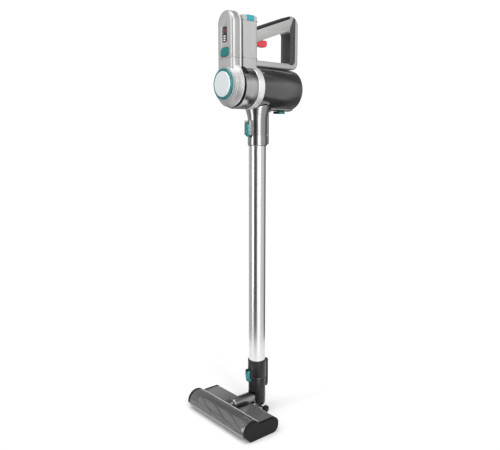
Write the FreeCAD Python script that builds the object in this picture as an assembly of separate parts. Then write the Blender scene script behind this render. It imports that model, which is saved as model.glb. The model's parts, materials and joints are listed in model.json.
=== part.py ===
"""Cordless stick vacuum, modelled as an assembly of separate pieces.

Units are millimetres and Z is up.  Everything is drawn about the wand: its
axis is X = 0, Y = 0, the floor is Z = 0, and the front of the machine faces
-Y.  Each piece is moved by SHIFT_Y when it is written, so that the stored
origin is the middle of the sole's flat face on the floor.
"""
import FreeCAD, Part
import math
import os

V = FreeCAD.Vector

# ---------------------------------------------------------------- clearances
GAP = 0.4          # between faces of pieces that move past each other
RUN = 0.04         # radial clearance of a shaft that turns in a bore
SEAM = 0.3         # between casings that meet at a visible seam

# ------------------------------------------------------------ driving sizes
WAND_R = 20.0              # aluminium tube, outside
WAND_WALL = 1.2
WAND_SHOWN = 520.0         # bare tube between its two end fittings

HEAD_W = 226.0             # floor head, overall width
CAP_T = 8.0                # end caps
HEAD_WALL = 2.2
HUMP_Y, HUMP_Z, HUMP_R = -105.0, 20.0, 26.0   # round housing over the brush
DECK_Z = 36.6              # flat deck behind the hump
HEAD_REAR_Y = -30.4
CHIN_Y = -113.4            # front edge of the sole
DECK_ROUND, SOLE_ROUND = 15.0, 17.0           # rear edge radii
PART_Z = 12.0              # level where base and cover meet

BRUSH_Y, BRUSH_Z, BRUSH_R = -103.0, 16.8, 16.5
BRUSH_CORE_R = 11.0
BRUSH_AXLE_R = 3.0
BEARING_R = 7.0
BEARING_L = 4.0
BRUSH_PULLEY_R = 10.0
MOTOR_PULLEY_R = 5.0
PULLEY_W = 6.0
BELT_T = 1.4
BRUSH_MOTOR_Y, BRUSH_MOTOR_Z, BRUSH_MOTOR_R = -64.0, 18.0, 11.5
TROUGH_TOP_X, TROUGH_LOW_X = 27.0, 13.0       # half widths of the barrel's recess
SCREW_R, SCREW_HEAD_R = 1.5, 2.8
SCREW_Y = -46.0

BARREL_R, BARREL_WALL = 12.6, 3.0             # swivel barrel on the deck
BARREL_Z = 38.3
BARREL_FRONT_Y = -79.0
PIN_R = 3.0
WHEEL_R, WHEEL_W = 8.8, 6.0
WHEEL_X, WHEEL_Y = 27.5, 5.0
AXLE_R = 2.0

NECK_R = 21.0              # neck of the floor head
NECK_TOP_Z = 89.0
SLEEVE_R = 22.3            # fitting at the wand's lower end
SLEEVE_L = 43.0
SPIGOT_R, SPIGOT_L = 16.5, 27.0
FIN_Y, FIN_X = 33.0, 4.5   # contact housing behind each end of the wand

COLLAR_R = 22.5            # fitting at the wand's upper end
COLLAR_L = 25.0
TUBE_IN = 26.0             # how far the tube reaches into the hand unit
NECK_STRAIGHT = 39.0       # straight part of the inlet neck
BODY_RISE = 105.0          # from the wand seam up to the body's axis

BODY_R = 47.6              # motor housing
BODY_WALL = 3.0
RING_R = 48.0              # light ring between housing and cup
CUP_R, CUP_WALL = 46.5, 2.2
HOUSING_FRONT_Y, RING_FRONT_Y = -71.0, -36.0
CUP_FRONT_Y, CUP_REAR_Y = -16.4, 96.0
LID_T = 5.0
PORT_Y, PORT_R = 3.0, 15.0 # dirt inlet in the cup wall

POD_HALF_W = 28.0          # upright pod at the front
POD_TOP = 160.0            # above the body's axis
POD_FRONT_Y, POD_REAR_Y = -94.0, -74.0
POD_SEAM = 59.3            # above the body's axis
POD_WALL = 2.5
CAP_RISE = 4.5             # the filter cap sits this much above the axis
CONE_R, CONE_FRONT_R = 48.5, 36.0
CONE_FRONT_Y, CONE_REAR_Y = -97.0, -81.0
FILTER_RING_R, FILTER_DISC_R = 33.7, 27.7
FILTER_R = 29.0

BATTERY_HALF_W = 29.0
BATTERY_FRONT_Y, BATTERY_REAR_Y = -65.0, -22.3
BATTERY_TOP = 152.0        # above the body's axis
CELL_R, CELL_L = 8.9, 65.0
DOCK_T, DOCK_L = 2.2, 11.0 # saddle under the battery's front edge

HANDLE_HALF_W = 16.5
HANDLE_REAR_Y = 113.0
BAR_T = 13.0               # lower bar of the handle
REAR_BAR_T = 11.2
GRIP_SLOPE = 0.358
GRIP_H = 32.0              # height of the grip, measured upright
GRIP_FRONT_TOP = 128.9     # above the body's axis, at the front of the grip
GRIP_STRIP_T = 6.5
LINER_T = 2.6
REAR_LINER_T = 15.0        # the liner fills the rear of the handle's opening this deep
TRIGGER_PIN_R = 1.5

# ------------------------------------------------------------ derived places
KNUCKLE_R = BARREL_R + GAP
SLEEVE_Z0 = NECK_TOP_Z + SEAM
TUBE_Z0 = SLEEVE_Z0 + 8.0
SLEEVE_Z1 = SLEEVE_Z0 + SLEEVE_L
COLLAR_Z0 = SLEEVE_Z1 + WAND_SHOWN
COLLAR_Z1 = COLLAR_Z0 + COLLAR_L
INLET_Z0 = COLLAR_Z1 + SEAM
TUBE_Z1 = INLET_Z0 + TUBE_IN
BODY_Z = COLLAR_Z1 + BODY_RISE
POD_Z = BODY_Z + CAP_RISE
CORE_X = HEAD_W / 2 - CAP_T              # inner faces of the end caps
STRIP_Y0, STRIP_Y1 = -85.0, -80.0        # groove of the velour strip behind the slot
STRIP_DEPTH = 1.2
SLOT_Y0, SLOT_Y1 = CHIN_Y + 1.4, STRIP_Y0 - 2.0
FLAT_END_Y = HEAD_REAR_Y - SOLE_ROUND
SHIFT_Y = -(STRIP_Y1 + FLAT_END_Y) / 2   # puts the origin on the sole
PULLEY_X = -(CORE_X - 1.5 - PULLEY_W / 2)
MOTOR_X0 = PULLEY_X + PULLEY_W / 2 + 13.5  # belt end of the brush motor
BRUSH_MOTOR_L = -MOTOR_X0 - TROUGH_TOP_X - 5.0
SLOT_END_X = CORE_X - 6.0


# ------------------------------------------------------------------- helpers
def box(x0, x1, y0, y1, z0, z1):
    return Part.makeBox(x1 - x0, y1 - y0, z1 - z0, V(x0, y0, z0))


def cyl(axis, radius, a, b, u, v):
    """Round bar along axis from a to b; (u, v) are its other two coordinates."""
    base = {"x": V(a, u, v), "y": V(u, a, v), "z": V(u, v, a)}[axis]
    way = {"x": V(1, 0, 0), "y": V(0, 1, 0), "z": V(0, 0, 1)}[axis]
    return Part.makeCylinder(radius, b - a, base, way)


def tube(axis, outer, inner, a, b, u, v):
    return cyl(axis, outer, a, b, u, v).cut(cyl(axis, inner, a - 1, b + 1, u, v))


def cone_y(r_front, r_rear, y0, y1, z):
    return Part.makeCone(r_front, r_rear, y1 - y0, V(0, y0, z), V(0, 1, 0))


def slab(axis, corners, a, b):
    """Extrude a loop of (u, v, radius) corners along axis from a to b."""
    def at(u, v):
        return {"x": V(a, u, v), "y": V(u, a, v), "z": V(u, v, a)}[axis]
    count = len(corners)
    starts, ends, arcs = [], [], []
    for i, (u, v, radius) in enumerate(corners):
        pu, pv, _ = corners[i - 1]
        nu, nv, _ = corners[(i + 1) % count]
        lin, lout = math.hypot(pu - u, pv - v), math.hypot(nu - u, nv - v)
        ain, aout = ((pu - u) / lin, (pv - v) / lin), ((nu - u) / lout, (nv - v) / lout)
        half = math.acos(max(-1, min(1, ain[0] * aout[0] + ain[1] * aout[1]))) / 2
        if radius <= 0:
            starts.append(at(u, v))
            ends.append(at(u, v))
            arcs.append(None)
            continue
        back = radius / math.tan(half)
        mid = (ain[0] + aout[0], ain[1] + aout[1])
        size = math.hypot(*mid)
        reach = radius / math.sin(half) - radius
        top = at(u + mid[0] / size * reach, v + mid[1] / size * reach)
        starts.append(at(u + ain[0] * back, v + ain[1] * back))
        ends.append(at(u + aout[0] * back, v + aout[1] * back))
        arcs.append(Part.Arc(starts[-1], top, ends[-1]).toShape())
    edges = []
    for i in range(count):
        if arcs[i] is not None:
            edges.append(arcs[i])
        follow = starts[(i + 1) % count]
        if ends[i].distanceToPoint(follow) > 1e-6:
            edges.append(Part.LineSegment(ends[i], follow).toShape())
    face = Part.Face(Part.Wire(edges))
    way = {"x": V(b - a, 0, 0), "y": V(0, b - a, 0), "z": V(0, 0, b - a)}[axis]
    return face.extrude(way)


def fuse(*shapes):
    return shapes[0].fuse(list(shapes[1:])).removeSplitter()


def cut(shape, *tools):
    return shape.cut(list(tools))


def mirror_x(shape):
    return shape.mirror(V(0, 0, 0), V(1, 0, 0))


def soften(shape, radius, wanted):
    """Round the edges whose middle point the test `wanted` accepts."""
    edges = [e for e in shape.Edges if wanted(e.BoundBox.Center)]
    return shape.makeFillet(radius, edges)


def near(value, target):
    return abs(value - target) < 0.01


# ---------------------------------------------------------------- floor head
def head_form(x0, x1, inset=0.0):
    """The head's side outline between x0 and x1, shrunk all round by inset."""
    hump = cyl("x", HUMP_R - inset, x0, x1, HUMP_Y, HUMP_Z)
    deck = slab("x", [(HUMP_Y, inset, 0),
                      (HEAD_REAR_Y - inset, inset, SOLE_ROUND - inset),
                      (HEAD_REAR_Y - inset, DECK_Z - inset, DECK_ROUND - inset),
                      (HUMP_Y, DECK_Z - inset, 0)], x0, x1)
    corner = CHIN_Y + inset * math.tan(math.pi / 8)
    below = slab("x", [(corner - 60, inset + 60, 0), (corner, inset, 0),
                       (HEAD_REAR_Y + 20, inset, 0), (HEAD_REAR_Y + 20, -60, 0),
                       (corner - 60, -60, 0)], x0 - 1, x1 + 1)
    return cut(fuse(hump, deck), below)


def head_shell(wall):
    return cut(head_form(-CORE_X, CORE_X), head_form(-CORE_X - 1, CORE_X + 1, wall))


def trough(grow):
    """Recess in the deck that the swivel barrel lies in."""
    y0, y1 = BARREL_FRONT_Y - 1.0 - grow, HEAD_REAR_Y + 5
    half_top, half_low = TROUGH_TOP_X + grow, TROUGH_LOW_X + grow
    low_z = BARREL_Z - 11.3 - grow
    flank = slab("y", [(-half_low, low_z, 0), (half_low, low_z, 0),
                       (half_top, DECK_Z, 0), (half_top, DECK_Z + 20, 0),
                       (-half_top, DECK_Z + 20, 0), (-half_top, DECK_Z, 0)], y0, y1)
    bed = cyl("y", BARREL_R + GAP + grow, y0, y1, 0, BARREL_Z)
    knob = cyl("y", 5.8, BARREL_FRONT_Y - 7.5, y0 + 1, 0, BARREL_Z)
    return fuse(flank, bed, knob) if grow == 0 else fuse(flank, bed)


def screw_places():
    return [(x, SCREW_Y) for x in (-68.0, -25.0, 25.0, 68.0)]


def air_port():
    """Way from the brush chamber through the bulkhead to the barrel's mouth."""
    return box(-11, 11, HUMP_Y + 10, -55.5, 3.8, 22.6)


def make_head_base():
    shell = head_shell(HEAD_WALL).common(
        box(-CORE_X, CORE_X, SLOT_Y0, HEAD_REAR_Y + 1, -1, PART_Z))
    bulkhead = tube("x", HUMP_R - 0.2, HUMP_R - HEAD_WALL, -CORE_X + 10.5, CORE_X,
                    HUMP_Y, HUMP_Z).common(
        box(-CORE_X, CORE_X, SLOT_Y1, HUMP_Y + HUMP_R, 0.5, DECK_Z - HEAD_WALL - 0.2))
    bosses = [cyl("z", 4.2, 0.1, PART_Z, x, y) for x, y in screw_places()]
    base = fuse(shell, bulkhead, air_duct(), motor_cradle(), *bosses)
    base = base.common(head_form(-CORE_X, CORE_X))
    cuts = [box(-SLOT_END_X, SLOT_END_X, CHIN_Y - 5, SLOT_Y1, -1, 3),
            box(-SLOT_END_X, SLOT_END_X, STRIP_Y0, STRIP_Y1, -1, STRIP_DEPTH),
            air_port().common(box(-50, 50, -120, -78, 0, 60))]
    for x, y in screw_places():
        cuts.append(cyl("z", SCREW_R, -1, PART_Z + 1, x, y))
        cuts.append(cyl("z", SCREW_HEAD_R, -1, 2.4, x, y))
    cuts.append(trough(HEAD_WALL + GAP).common(box(-60, 60, -90, 0, PART_Z, 60)))
    cuts.append(trough(0).common(box(-60, 60, -90, 0, PART_Z, 60)))
    return cut(base, *cuts)


def make_head_cover():
    behind = box(-CORE_X, CORE_X, HUMP_Y + 19.3, HEAD_REAR_Y + 1, PART_Z, 80)
    shell = head_shell(HEAD_WALL).common(behind)
    lining = trough(HEAD_WALL).common(head_form(-CORE_X, CORE_X)).common(behind)
    bosses = [cyl("z", 4.2, PART_Z, DECK_Z - 1, x, y) for x, y in screw_places()]
    cover = fuse(shell, lining, *bosses)
    mouth = box(-7, 7, BARREL_FRONT_Y + 8, BARREL_FRONT_Y + 23, 15, BARREL_Z)
    holes = [cyl("z", SCREW_R, PART_Z - 1, PART_Z + 8, x, y) for x, y in screw_places()]
    return cut(cover, trough(0), mouth, *holes)


def make_brush_window():
    front = box(-CORE_X, CORE_X, HUMP_Y - HUMP_R - 1, HUMP_Y + 19.0, PART_Z + 0.2, 80)
    return head_shell(2.0).common(front)


def make_front_lip():
    strip = head_shell(HEAD_WALL).common(
        box(-CORE_X, CORE_X, HUMP_Y - HUMP_R - 1, SLOT_Y0, -1, PART_Z))
    pitch, gap_w = 8.0, 3.6
    count = int(2 * (SLOT_END_X - 4) / pitch)
    start = -pitch * (count - 1) / 2
    teeth = [box(start + i * pitch - gap_w / 2, start + i * pitch + gap_w / 2,
                 CHIN_Y - 30, CHIN_Y + 5, -1, 7.0) for i in range(count)]
    return cut(strip, *teeth)


def make_end_cap(side):
    outer = head_form(CORE_X, HEAD_W / 2)
    outer = soften(outer, 2.0, lambda c: near(c.x, HEAD_W / 2))
    pocket = cyl("x", BEARING_R, CORE_X - 1, CORE_X + BEARING_L + 0.5, BRUSH_Y, BRUSH_Z)
    cap = cut(outer, pocket)
    return cap if side > 0 else mirror_x(cap)



def air_duct():
    outer = box(-12.5, 12.5, HUMP_Y + 14, -54, HEAD_WALL + 0.1, 22.6)
    inner = box(-11, 11, HUMP_Y + 13, -55.5, 3.8, 30)
    lid = box(-12.5, 12.5, HUMP_Y + 14, BARREL_FRONT_Y + 7, 21.1, 22.6)
    return cut(fuse(cut(outer, inner), lid), cyl("x", HUMP_R, -20, 20, HUMP_Y, HUMP_Z))


def make_brush_motor():
    x0, x1 = MOTOR_X0, MOTOR_X0 + BRUSH_MOTOR_L
    can = soften(cyl("x", BRUSH_MOTOR_R, x0, x1, BRUSH_MOTOR_Y, BRUSH_MOTOR_Z),
                 1.2, lambda c: near(c.x, x0) or near(c.x, x1))
    nose = cyl("x", 4.5, x0 - 2.5, x0 + 1, BRUSH_MOTOR_Y, BRUSH_MOTOR_Z)
    bore = cyl("x", AXLE_R + RUN, x0 - 4, x0 + 10, BRUSH_MOTOR_Y, BRUSH_MOTOR_Z)
    return cut(fuse(can, nose), bore)


def motor_cradle():
    ribs = []
    x0, x1 = MOTOR_X0 + 6, MOTOR_X0 + BRUSH_MOTOR_L - 8
    for x in (x0 + 2, x1 - 2):
        ribs.append(box(x - 2, x + 2, BRUSH_MOTOR_Y - 13, BRUSH_MOTOR_Y + 13,
                        HEAD_WALL, BRUSH_MOTOR_Z))
    plate = box(x0, x1, BRUSH_MOTOR_Y - 13, BRUSH_MOTOR_Y + 13, HEAD_WALL, HEAD_WALL + 2)
    can = cyl("x", BRUSH_MOTOR_R + 0.1, x0 - 5, x1 + 5, BRUSH_MOTOR_Y, BRUSH_MOTOR_Z)
    return cut(fuse(plate, *ribs), can, cyl("x", HUMP_R, x0 - 5, x1 + 5, HUMP_Y, HUMP_Z))


def make_motor_pulley():
    half = PULLEY_W / 2
    drum = cyl("x", MOTOR_PULLEY_R, PULLEY_X - half, PULLEY_X + half,
               BRUSH_MOTOR_Y, BRUSH_MOTOR_Z)
    shaft = cyl("x", AXLE_R, PULLEY_X + half, MOTOR_X0 + 9,
                BRUSH_MOTOR_Y, BRUSH_MOTOR_Z)
    return fuse(drum, shaft)


def belt_loop(extra, x0, x1):
    """Outline round both pulleys, at `extra` outside their faces."""
    r1, r2 = BRUSH_PULLEY_R + extra, MOTOR_PULLEY_R + extra
    dy, dz = BRUSH_MOTOR_Y - BRUSH_Y, BRUSH_MOTOR_Z - BRUSH_Z
    span, tilt = math.hypot(dy, dz), math.atan2(dz, dy)
    lean = math.acos((r1 - r2) / span)
    quad = []
    for cy, cz, r, sign in ((BRUSH_Y, BRUSH_Z, r1, 1), (BRUSH_MOTOR_Y, BRUSH_MOTOR_Z, r2, 1),
                            (BRUSH_MOTOR_Y, BRUSH_MOTOR_Z, r2, -1), (BRUSH_Y, BRUSH_Z, r1, -1)):
        angle = tilt + sign * lean
        quad.append((cy + r * math.cos(angle), cz + r * math.sin(angle), 0))
    return fuse(slab("x", quad, x0, x1),
                cyl("x", r1, x0, x1, BRUSH_Y, BRUSH_Z),
                cyl("x", r2, x0, x1, BRUSH_MOTOR_Y, BRUSH_MOTOR_Z))


def make_drive_belt():
    half = PULLEY_W / 2 - 0.5
    outer = belt_loop(SEAM + BELT_T, PULLEY_X - half, PULLEY_X + half)
    return cut(outer, belt_loop(SEAM, PULLEY_X - half - 1, PULLEY_X + half + 1))


def core_ends():
    return PULLEY_X + PULLEY_W / 2 + 2.0, CORE_X - 1.5


def make_brush_roller():
    """Core tube with its steel ends and the belt wheel moulded on."""
    x0, x1 = core_ends()
    reach = CORE_X + BEARING_L - 0.5
    half = PULLEY_W / 2
    return fuse(cyl("x", BRUSH_AXLE_R, -reach, reach, BRUSH_Y, BRUSH_Z),
                cyl("x", BRUSH_CORE_R, x0, x1, BRUSH_Y, BRUSH_Z),
                cyl("x", BRUSH_PULLEY_R, PULLEY_X - half, PULLEY_X + half, BRUSH_Y, BRUSH_Z))


def make_brush_bristles():
    """Two rows of tufts that wind once round the core."""
    x0, x1 = core_ends()
    count = 24
    x1 = SLOT_END_X - 1.0
    pitch = (x1 - x0 - 4) / count
    tufts = []
    for row in (0, 180):
        for i in range(count):
            x = x0 + 2 + (i + 0.5) * pitch
            tuft = box(x - pitch / 2 + 0.4, x + pitch / 2 - 0.4, BRUSH_Y - 1.6, BRUSH_Y + 1.6,
                       BRUSH_Z + BRUSH_CORE_R - 1, BRUSH_Z + BRUSH_R - 0.15)
            tuft.rotate(V(0, BRUSH_Y, BRUSH_Z), V(1, 0, 0), row + 360.0 * i / count)
            tufts.append(tuft)
    inside = cyl("x", BRUSH_CORE_R, x0, x1, BRUSH_Y, BRUSH_Z)
    return cut(Part.makeCompound(tufts), inside)


def make_brush_bearings():
    ring = tube("x", BEARING_R, BRUSH_AXLE_R + RUN, CORE_X, CORE_X + BEARING_L,
                BRUSH_Y, BRUSH_Z)
    return Part.makeCompound([ring, mirror_x(ring)])




def make_cover_screws():
    screws = []
    for x, y in screw_places():
        head = cyl("z", SCREW_HEAD_R, 0.5, 2.4, x, y)
        slot = box(x - 2, x + 2, y - 0.4, y + 0.4, 0, 1.2)
        screws.append(cut(fuse(head, cyl("z", SCREW_R, 2.4, PART_Z + 7, x, y)), slot))
    return Part.makeCompound(screws)


# ------------------------------------------------- swivel barrel and wheels
def make_swivel_barrel():
    body = cyl("y", BARREL_R, BARREL_FRONT_Y, -10, 0, BARREL_Z)
    body = soften(body, 4.0, lambda c: near(c.y, BARREL_FRONT_Y))
    knob = cyl("y", 5.0, BARREL_FRONT_Y - 5.5, BARREL_FRONT_Y + 1, 0, BARREL_Z)
    knob = soften(knob, 2.2, lambda c: near(c.y, BARREL_FRONT_Y - 5.5))
    half = KNUCKLE_R - 0.5
    knuckle = cyl("x", KNUCKLE_R, -half, half, 0, BARREL_Z)
    foot = slab("x", [(-4, BARREL_Z - 6, 0), (9, BARREL_Z - 6, 0),
                      (WHEEL_Y + 4, WHEEL_R - 4, 3), (WHEEL_Y - 4, WHEEL_R - 4, 3)], -7, 7)
    solid = fuse(body, knob, knuckle, foot)
    room = half - 2.2
    bore = cyl("y", BARREL_R - BARREL_WALL, BARREL_FRONT_Y + 3, 0, 0, BARREL_Z)
    hollow = cyl("x", KNUCKLE_R - 2.5, -room, room, 0, BARREL_Z)
    opening = box(-room, room, -3, 20, BARREL_Z - 3, BARREL_Z + 20)
    mouth = box(-7, 7, BARREL_FRONT_Y + 8, BARREL_FRONT_Y + 23, 15, BARREL_Z)
    pins = cyl("x", PIN_R + RUN, -half - 1, half + 1, 0, BARREL_Z)
    axle = cyl("x", AXLE_R, -8, 8, WHEEL_Y, WHEEL_R)
    return cut(solid, bore, hollow, opening, mouth, pins, axle)


def make_rear_axle():
    reach = WHEEL_X + WHEEL_W / 2
    rod = cyl("x", AXLE_R, -reach - 1, reach + 1, WHEEL_Y, WHEEL_R)
    heads = [cyl("x", 3.2, reach + 0.4, reach + 1.6, WHEEL_Y, WHEEL_R),
             cyl("x", 3.2, -reach - 1.6, -reach - 0.4, WHEEL_Y, WHEEL_R)]
    return fuse(rod, *heads)


def make_rear_wheel(side):
    half = WHEEL_W / 2
    x0, x1 = WHEEL_X - half, WHEEL_X + half
    wheel = cyl("x", WHEEL_R, x0, x1, WHEEL_Y, WHEEL_R)
    wheel = soften(wheel, 1.2, lambda c: near(c.x, x0) or near(c.x, x1))
    dish = tube("x", WHEEL_R - 2.4, 3.8, x1 - 1.6, x1 + 1, WHEEL_Y, WHEEL_R)
    bore = cyl("x", AXLE_R + RUN, x0 - 1, x1 + 1, WHEEL_Y, WHEEL_R)
    wheel = cut(wheel, dish, bore)
    return wheel if side > 0 else mirror_x(wheel)


# --------------------------------------------------------- neck of the head
NECK_SLOT_X = KNUCKLE_R                  # half the gap between the fork's arms
NECK_SLOT_TOP = BARREL_Z + KNUCKLE_R + 2.2
DUCT_R = 8.7                # air way through the pivot


def make_floor_neck():
    post = cyl("z", NECK_R, BARREL_Z, NECK_TOP_Z, 0, 0)
    foot = cyl("z", NECK_R, 0, BARREL_Z, 0, 0).common(
        cyl("x", NECK_R - 1, -NECK_R, NECK_R, 0, BARREL_Z))
    neck = fuse(post, foot)
    slot = box(-NECK_SLOT_X, NECK_SLOT_X, -30, 30, 0, NECK_SLOT_TOP)
    socket = cyl("z", SPIGOT_R + 0.2, NECK_TOP_Z - SPIGOT_L - 1, NECK_TOP_Z + 1, 0, 0)
    way = cyl("z", DUCT_R, 0, NECK_TOP_Z, 0, 0)
    pins = cyl("x", PIN_R, -NECK_R, NECK_R, 0, BARREL_Z)
    return cut(neck, slot, socket, way, pins)


def make_pivot_pins():
    inner = BARREL_R - BARREL_WALL + 0.2
    pin = cyl("x", PIN_R, inner, NECK_R - 1.0, 0, BARREL_Z)
    return Part.makeCompound([pin, mirror_x(pin)])



# -------------------------------------------------------- release buttons
def button_form(y_in, y_out, z0, z1, half_w):
    """Rocking button seen from the side: flat inside, crowned outside."""
    rise = z1 - z0
    form = slab("x", [(y_in, z0 + 2, 1), (y_in - 3, z0, 1.5), (y_out, z0 + rise * 0.36, 5),
                      (y_out, z1 - rise * 0.30, 5), (y_out + 4.5, z1, 2), (y_in, z1, 1)],
                -half_w, half_w)
    return form


LOW_BUTTON = dict(y_in=-24.4, y_out=-33.4, z0=NECK_TOP_Z - 10.5, z1=NECK_TOP_Z + 18)
LOW_PIN = (-26.8, NECK_TOP_Z + 12.0)
TOP_BUTTON = dict(y_in=-25.0, y_out=-36.0, z0=COLLAR_Z1 - 5.0, z1=COLLAR_Z1 + 31.0)
TOP_PIN = (-27.6, COLLAR_Z1 + 13.0)
BUTTON_HALF_W = 7.2
CHEEK_HALF_W = 10.2
BUTTON_PIN_R = 1.2


def latch_block(z0, z1, y_front, pin):
    """Two cheeks in front of a tube, with the button's pin between them."""
    block = slab("z", [(-CHEEK_HALF_W, -14, 0), (CHEEK_HALF_W, -14, 0),
                       (CHEEK_HALF_W, y_front, 2), (-CHEEK_HALF_W, y_front, 2)], z0, z1)
    pocket = box(-BUTTON_HALF_W - SEAM, BUTTON_HALF_W + SEAM, -60, -22.9, z0 - 1, z1 + 1)
    return cut(block, pocket, make_button_pin(pin))


def make_button(spec, pin):
    form = button_form(half_w=BUTTON_HALF_W, **spec)
    spring_seat = cyl("y", 2.6, spec["y_in"] - 1.5, spec["y_in"] + 1, 0, pin[1] + 3.5)
    return cut(form, cyl("x", BUTTON_PIN_R + RUN, -20, 20, *pin), spring_seat)


def make_button_pin(pin):
    return cyl("x", BUTTON_PIN_R, -CHEEK_HALF_W, CHEEK_HALF_W, *pin)



# ---------------------------------------------------------------------- wand
def make_wand_tube():
    return tube("z", WAND_R, WAND_R - WAND_WALL, TUBE_Z0, TUBE_Z1, 0, 0)


def make_wand_sleeve():
    outer = cyl("z", SLEEVE_R, SLEEVE_Z0, SLEEVE_Z1, 0, 0)
    outer = soften(outer, 1.5, lambda c: near(c.z, SLEEVE_Z1))
    spigot = cyl("z", SPIGOT_R, NECK_TOP_Z - SPIGOT_L, SLEEVE_Z0, 0, 0)
    fin = slab("x", [(SLEEVE_R - 3, SLEEVE_Z0, 0), (NECK_R + GAP + 0.3, SLEEVE_Z0, 0),
                     (NECK_R + GAP + 0.3, SLEEVE_Z0 - 30, 3), (FIN_Y - 4, SLEEVE_Z0 - 36, 3),
                     (FIN_Y, SLEEVE_Z0 - 28, 6), (FIN_Y, SLEEVE_Z1 - 4, 5),
                     (SLEEVE_R - 3, SLEEVE_Z1 - 4, 0)], -FIN_X, FIN_X)
    block = latch_block(SLEEVE_Z0 + 0.4, NECK_TOP_Z + 19.5, -29.5, LOW_PIN)
    solid = fuse(outer, spigot, fin, block, make_button_pin(LOW_PIN))
    seat = cyl("z", WAND_R, TUBE_Z0, SLEEVE_Z1 + 1, 0, 0)
    duct = cyl("z", SPIGOT_R - 2.0, 0, SLEEVE_Z1, 0, 0)
    return cut(solid, seat, duct)


def make_wand_collar():
    ring = cyl("z", COLLAR_R, COLLAR_Z0, COLLAR_Z1, 0, 0)
    rib = slab("x", [(10, COLLAR_Z0 + 3, 0), (FIN_Y - 1, COLLAR_Z0 + 3, 4),
                     (FIN_Y - 1, COLLAR_Z1, 0), (10, COLLAR_Z1, 0)], -FIN_X, FIN_X)
    ring = soften(ring, 3.0, lambda c: near(c.z, COLLAR_Z0))
    return cut(fuse(ring, rib), cyl("z", WAND_R, COLLAR_Z0 - 1, COLLAR_Z1 + 1, 0, 0))


def make_wand_wiring():
    """Flat insulated pair inside the tube, from one contact block to the other."""
    return box(-3, 3, WAND_R - WAND_WALL - 2.4, WAND_R - WAND_WALL - 0.6, TUBE_Z0 + 1, TUBE_Z1)



# ------------------------------------------------------------- hand unit body
def cup_space(extra):
    """Everything within `extra` of the cup's outside, behind the light ring."""
    return cyl("y", CUP_R + extra, CUP_FRONT_Y - SEAM, CUP_REAR_Y + 200, 0, BODY_Z)


def body_space(extra=0.0):
    housing = cyl("y", BODY_R + extra, HOUSING_FRONT_Y, RING_FRONT_Y, 0, BODY_Z)
    ring = cyl("y", RING_R + extra, RING_FRONT_Y, CUP_FRONT_Y - SEAM, 0, BODY_Z)
    neck = cyl("y", BODY_R - 2.8 + extra, CONE_REAR_Y + 3, HOUSING_FRONT_Y, 0, BODY_Z)
    return fuse(housing, ring, neck)


def make_inlet_neck():
    straight = cyl("z", COLLAR_R, INLET_Z0, INLET_Z0 + NECK_STRAIGHT, 0, 0)
    flare_z = INLET_Z0 + NECK_STRAIGHT
    flare = Part.makeCone(COLLAR_R, COLLAR_R + 8, 30, V(0, 0, flare_z), V(0, 0, 1))
    rib = slab("x", [(10, INLET_Z0, 0), (FIN_Y - 1, INLET_Z0, 0), (FIN_Y - 1, flare_z + 12, 0),
                     (10, flare_z + 12, 0)], -FIN_X, FIN_X)
    block = latch_block(INLET_Z0, COLLAR_Z1 + 33, -31.5, TOP_PIN)
    solid = fuse(straight, flare, rib, block)
    cap = cyl("z", 60, BODY_Z - 20, BODY_Z + 60, 0, 0)
    socket = cyl("z", WAND_R + 0.2, INLET_Z0 - 1, TUBE_Z1 + 1, 0, 0)
    duct = cyl("z", WAND_R - 3.5, INLET_Z0, BODY_Z, 0, 0).common(
        cyl("z", 60, INLET_Z0, flare_z + 4, 0, 0))
    riser = cyl("z", PORT_R, flare_z, BODY_Z, 0, PORT_Y)
    return cut(solid, body_space(), cup_space(SEAM + 1.6), cap, socket, duct, riser)


def inlet_seal():
    ring = tube("z", PORT_R + 2.6, PORT_R, BODY_Z - 60, BODY_Z - 20, 0, PORT_Y)
    return cut(ring.common(cup_space(SEAM + 1.6)), cup_space(SEAM))


def make_cup_rail():
    """Curved rail under the cup, with the groove that its latch slides in."""
    y0, y1 = COLLAR_R + 4.0, CUP_REAR_Y + 1.0
    shell = cut(cyl("y", CUP_R + 3.0, y0, y1, 0, BODY_Z), cup_space(GAP))
    sector = box(-17, 17, y0, y1, BODY_Z - CUP_R - 8, BODY_Z - CUP_R + 4)
    foot = box(-FIN_X, FIN_X, FIN_Y - 6, FIN_Y + 5, BODY_Z - CUP_R - 6, BODY_Z - CUP_R)
    foot = cut(foot, cup_space(GAP))
    slot = box(-5.4, 5.4, 48, y1 - 6, BODY_Z - 70, BODY_Z - CUP_R - 0.6)
    return cut(fuse(shell.common(sector), foot), slot, make_inlet_neck())


def make_motor_housing():
    can = tube("y", BODY_R, BODY_R - BODY_WALL, HOUSING_FRONT_Y, RING_FRONT_Y, 0, BODY_Z)
    wall = tube("y", BODY_R - 1, 24.0, HOUSING_FRONT_Y, HOUSING_FRONT_Y + 3, 0, BODY_Z)
    ribs = []
    for angle in (45, 135, 225, 315):
        rib = box(31.0, BODY_R - 1, -58, -50, BODY_Z - 1.5, BODY_Z + 1.5)
        rib.rotate(V(0, 0, BODY_Z), V(0, 1, 0), angle)
        ribs.append(rib)
    return cut(fuse(can, wall, *ribs), cyl("y", 31.0, -59, -49, 0, BODY_Z))


def make_groove_ring():
    return tube("y", BODY_R - 2.8, 34.5, CONE_REAR_Y + 3, HOUSING_FRONT_Y, 0, BODY_Z)


def make_collar_ring():
    y1 = CUP_FRONT_Y - SEAM
    ring = tube("y", RING_R, RING_R - 3.5, RING_FRONT_Y, y1, 0, BODY_Z)
    web = tube("y", RING_R - 3, 34.0, y1 - 4, y1, 0, BODY_Z)
    hub = tube("y", 35.0, 22.0, y1 - 4, y1, 0, BODY_Z)
    return fuse(ring, web, hub)





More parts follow.
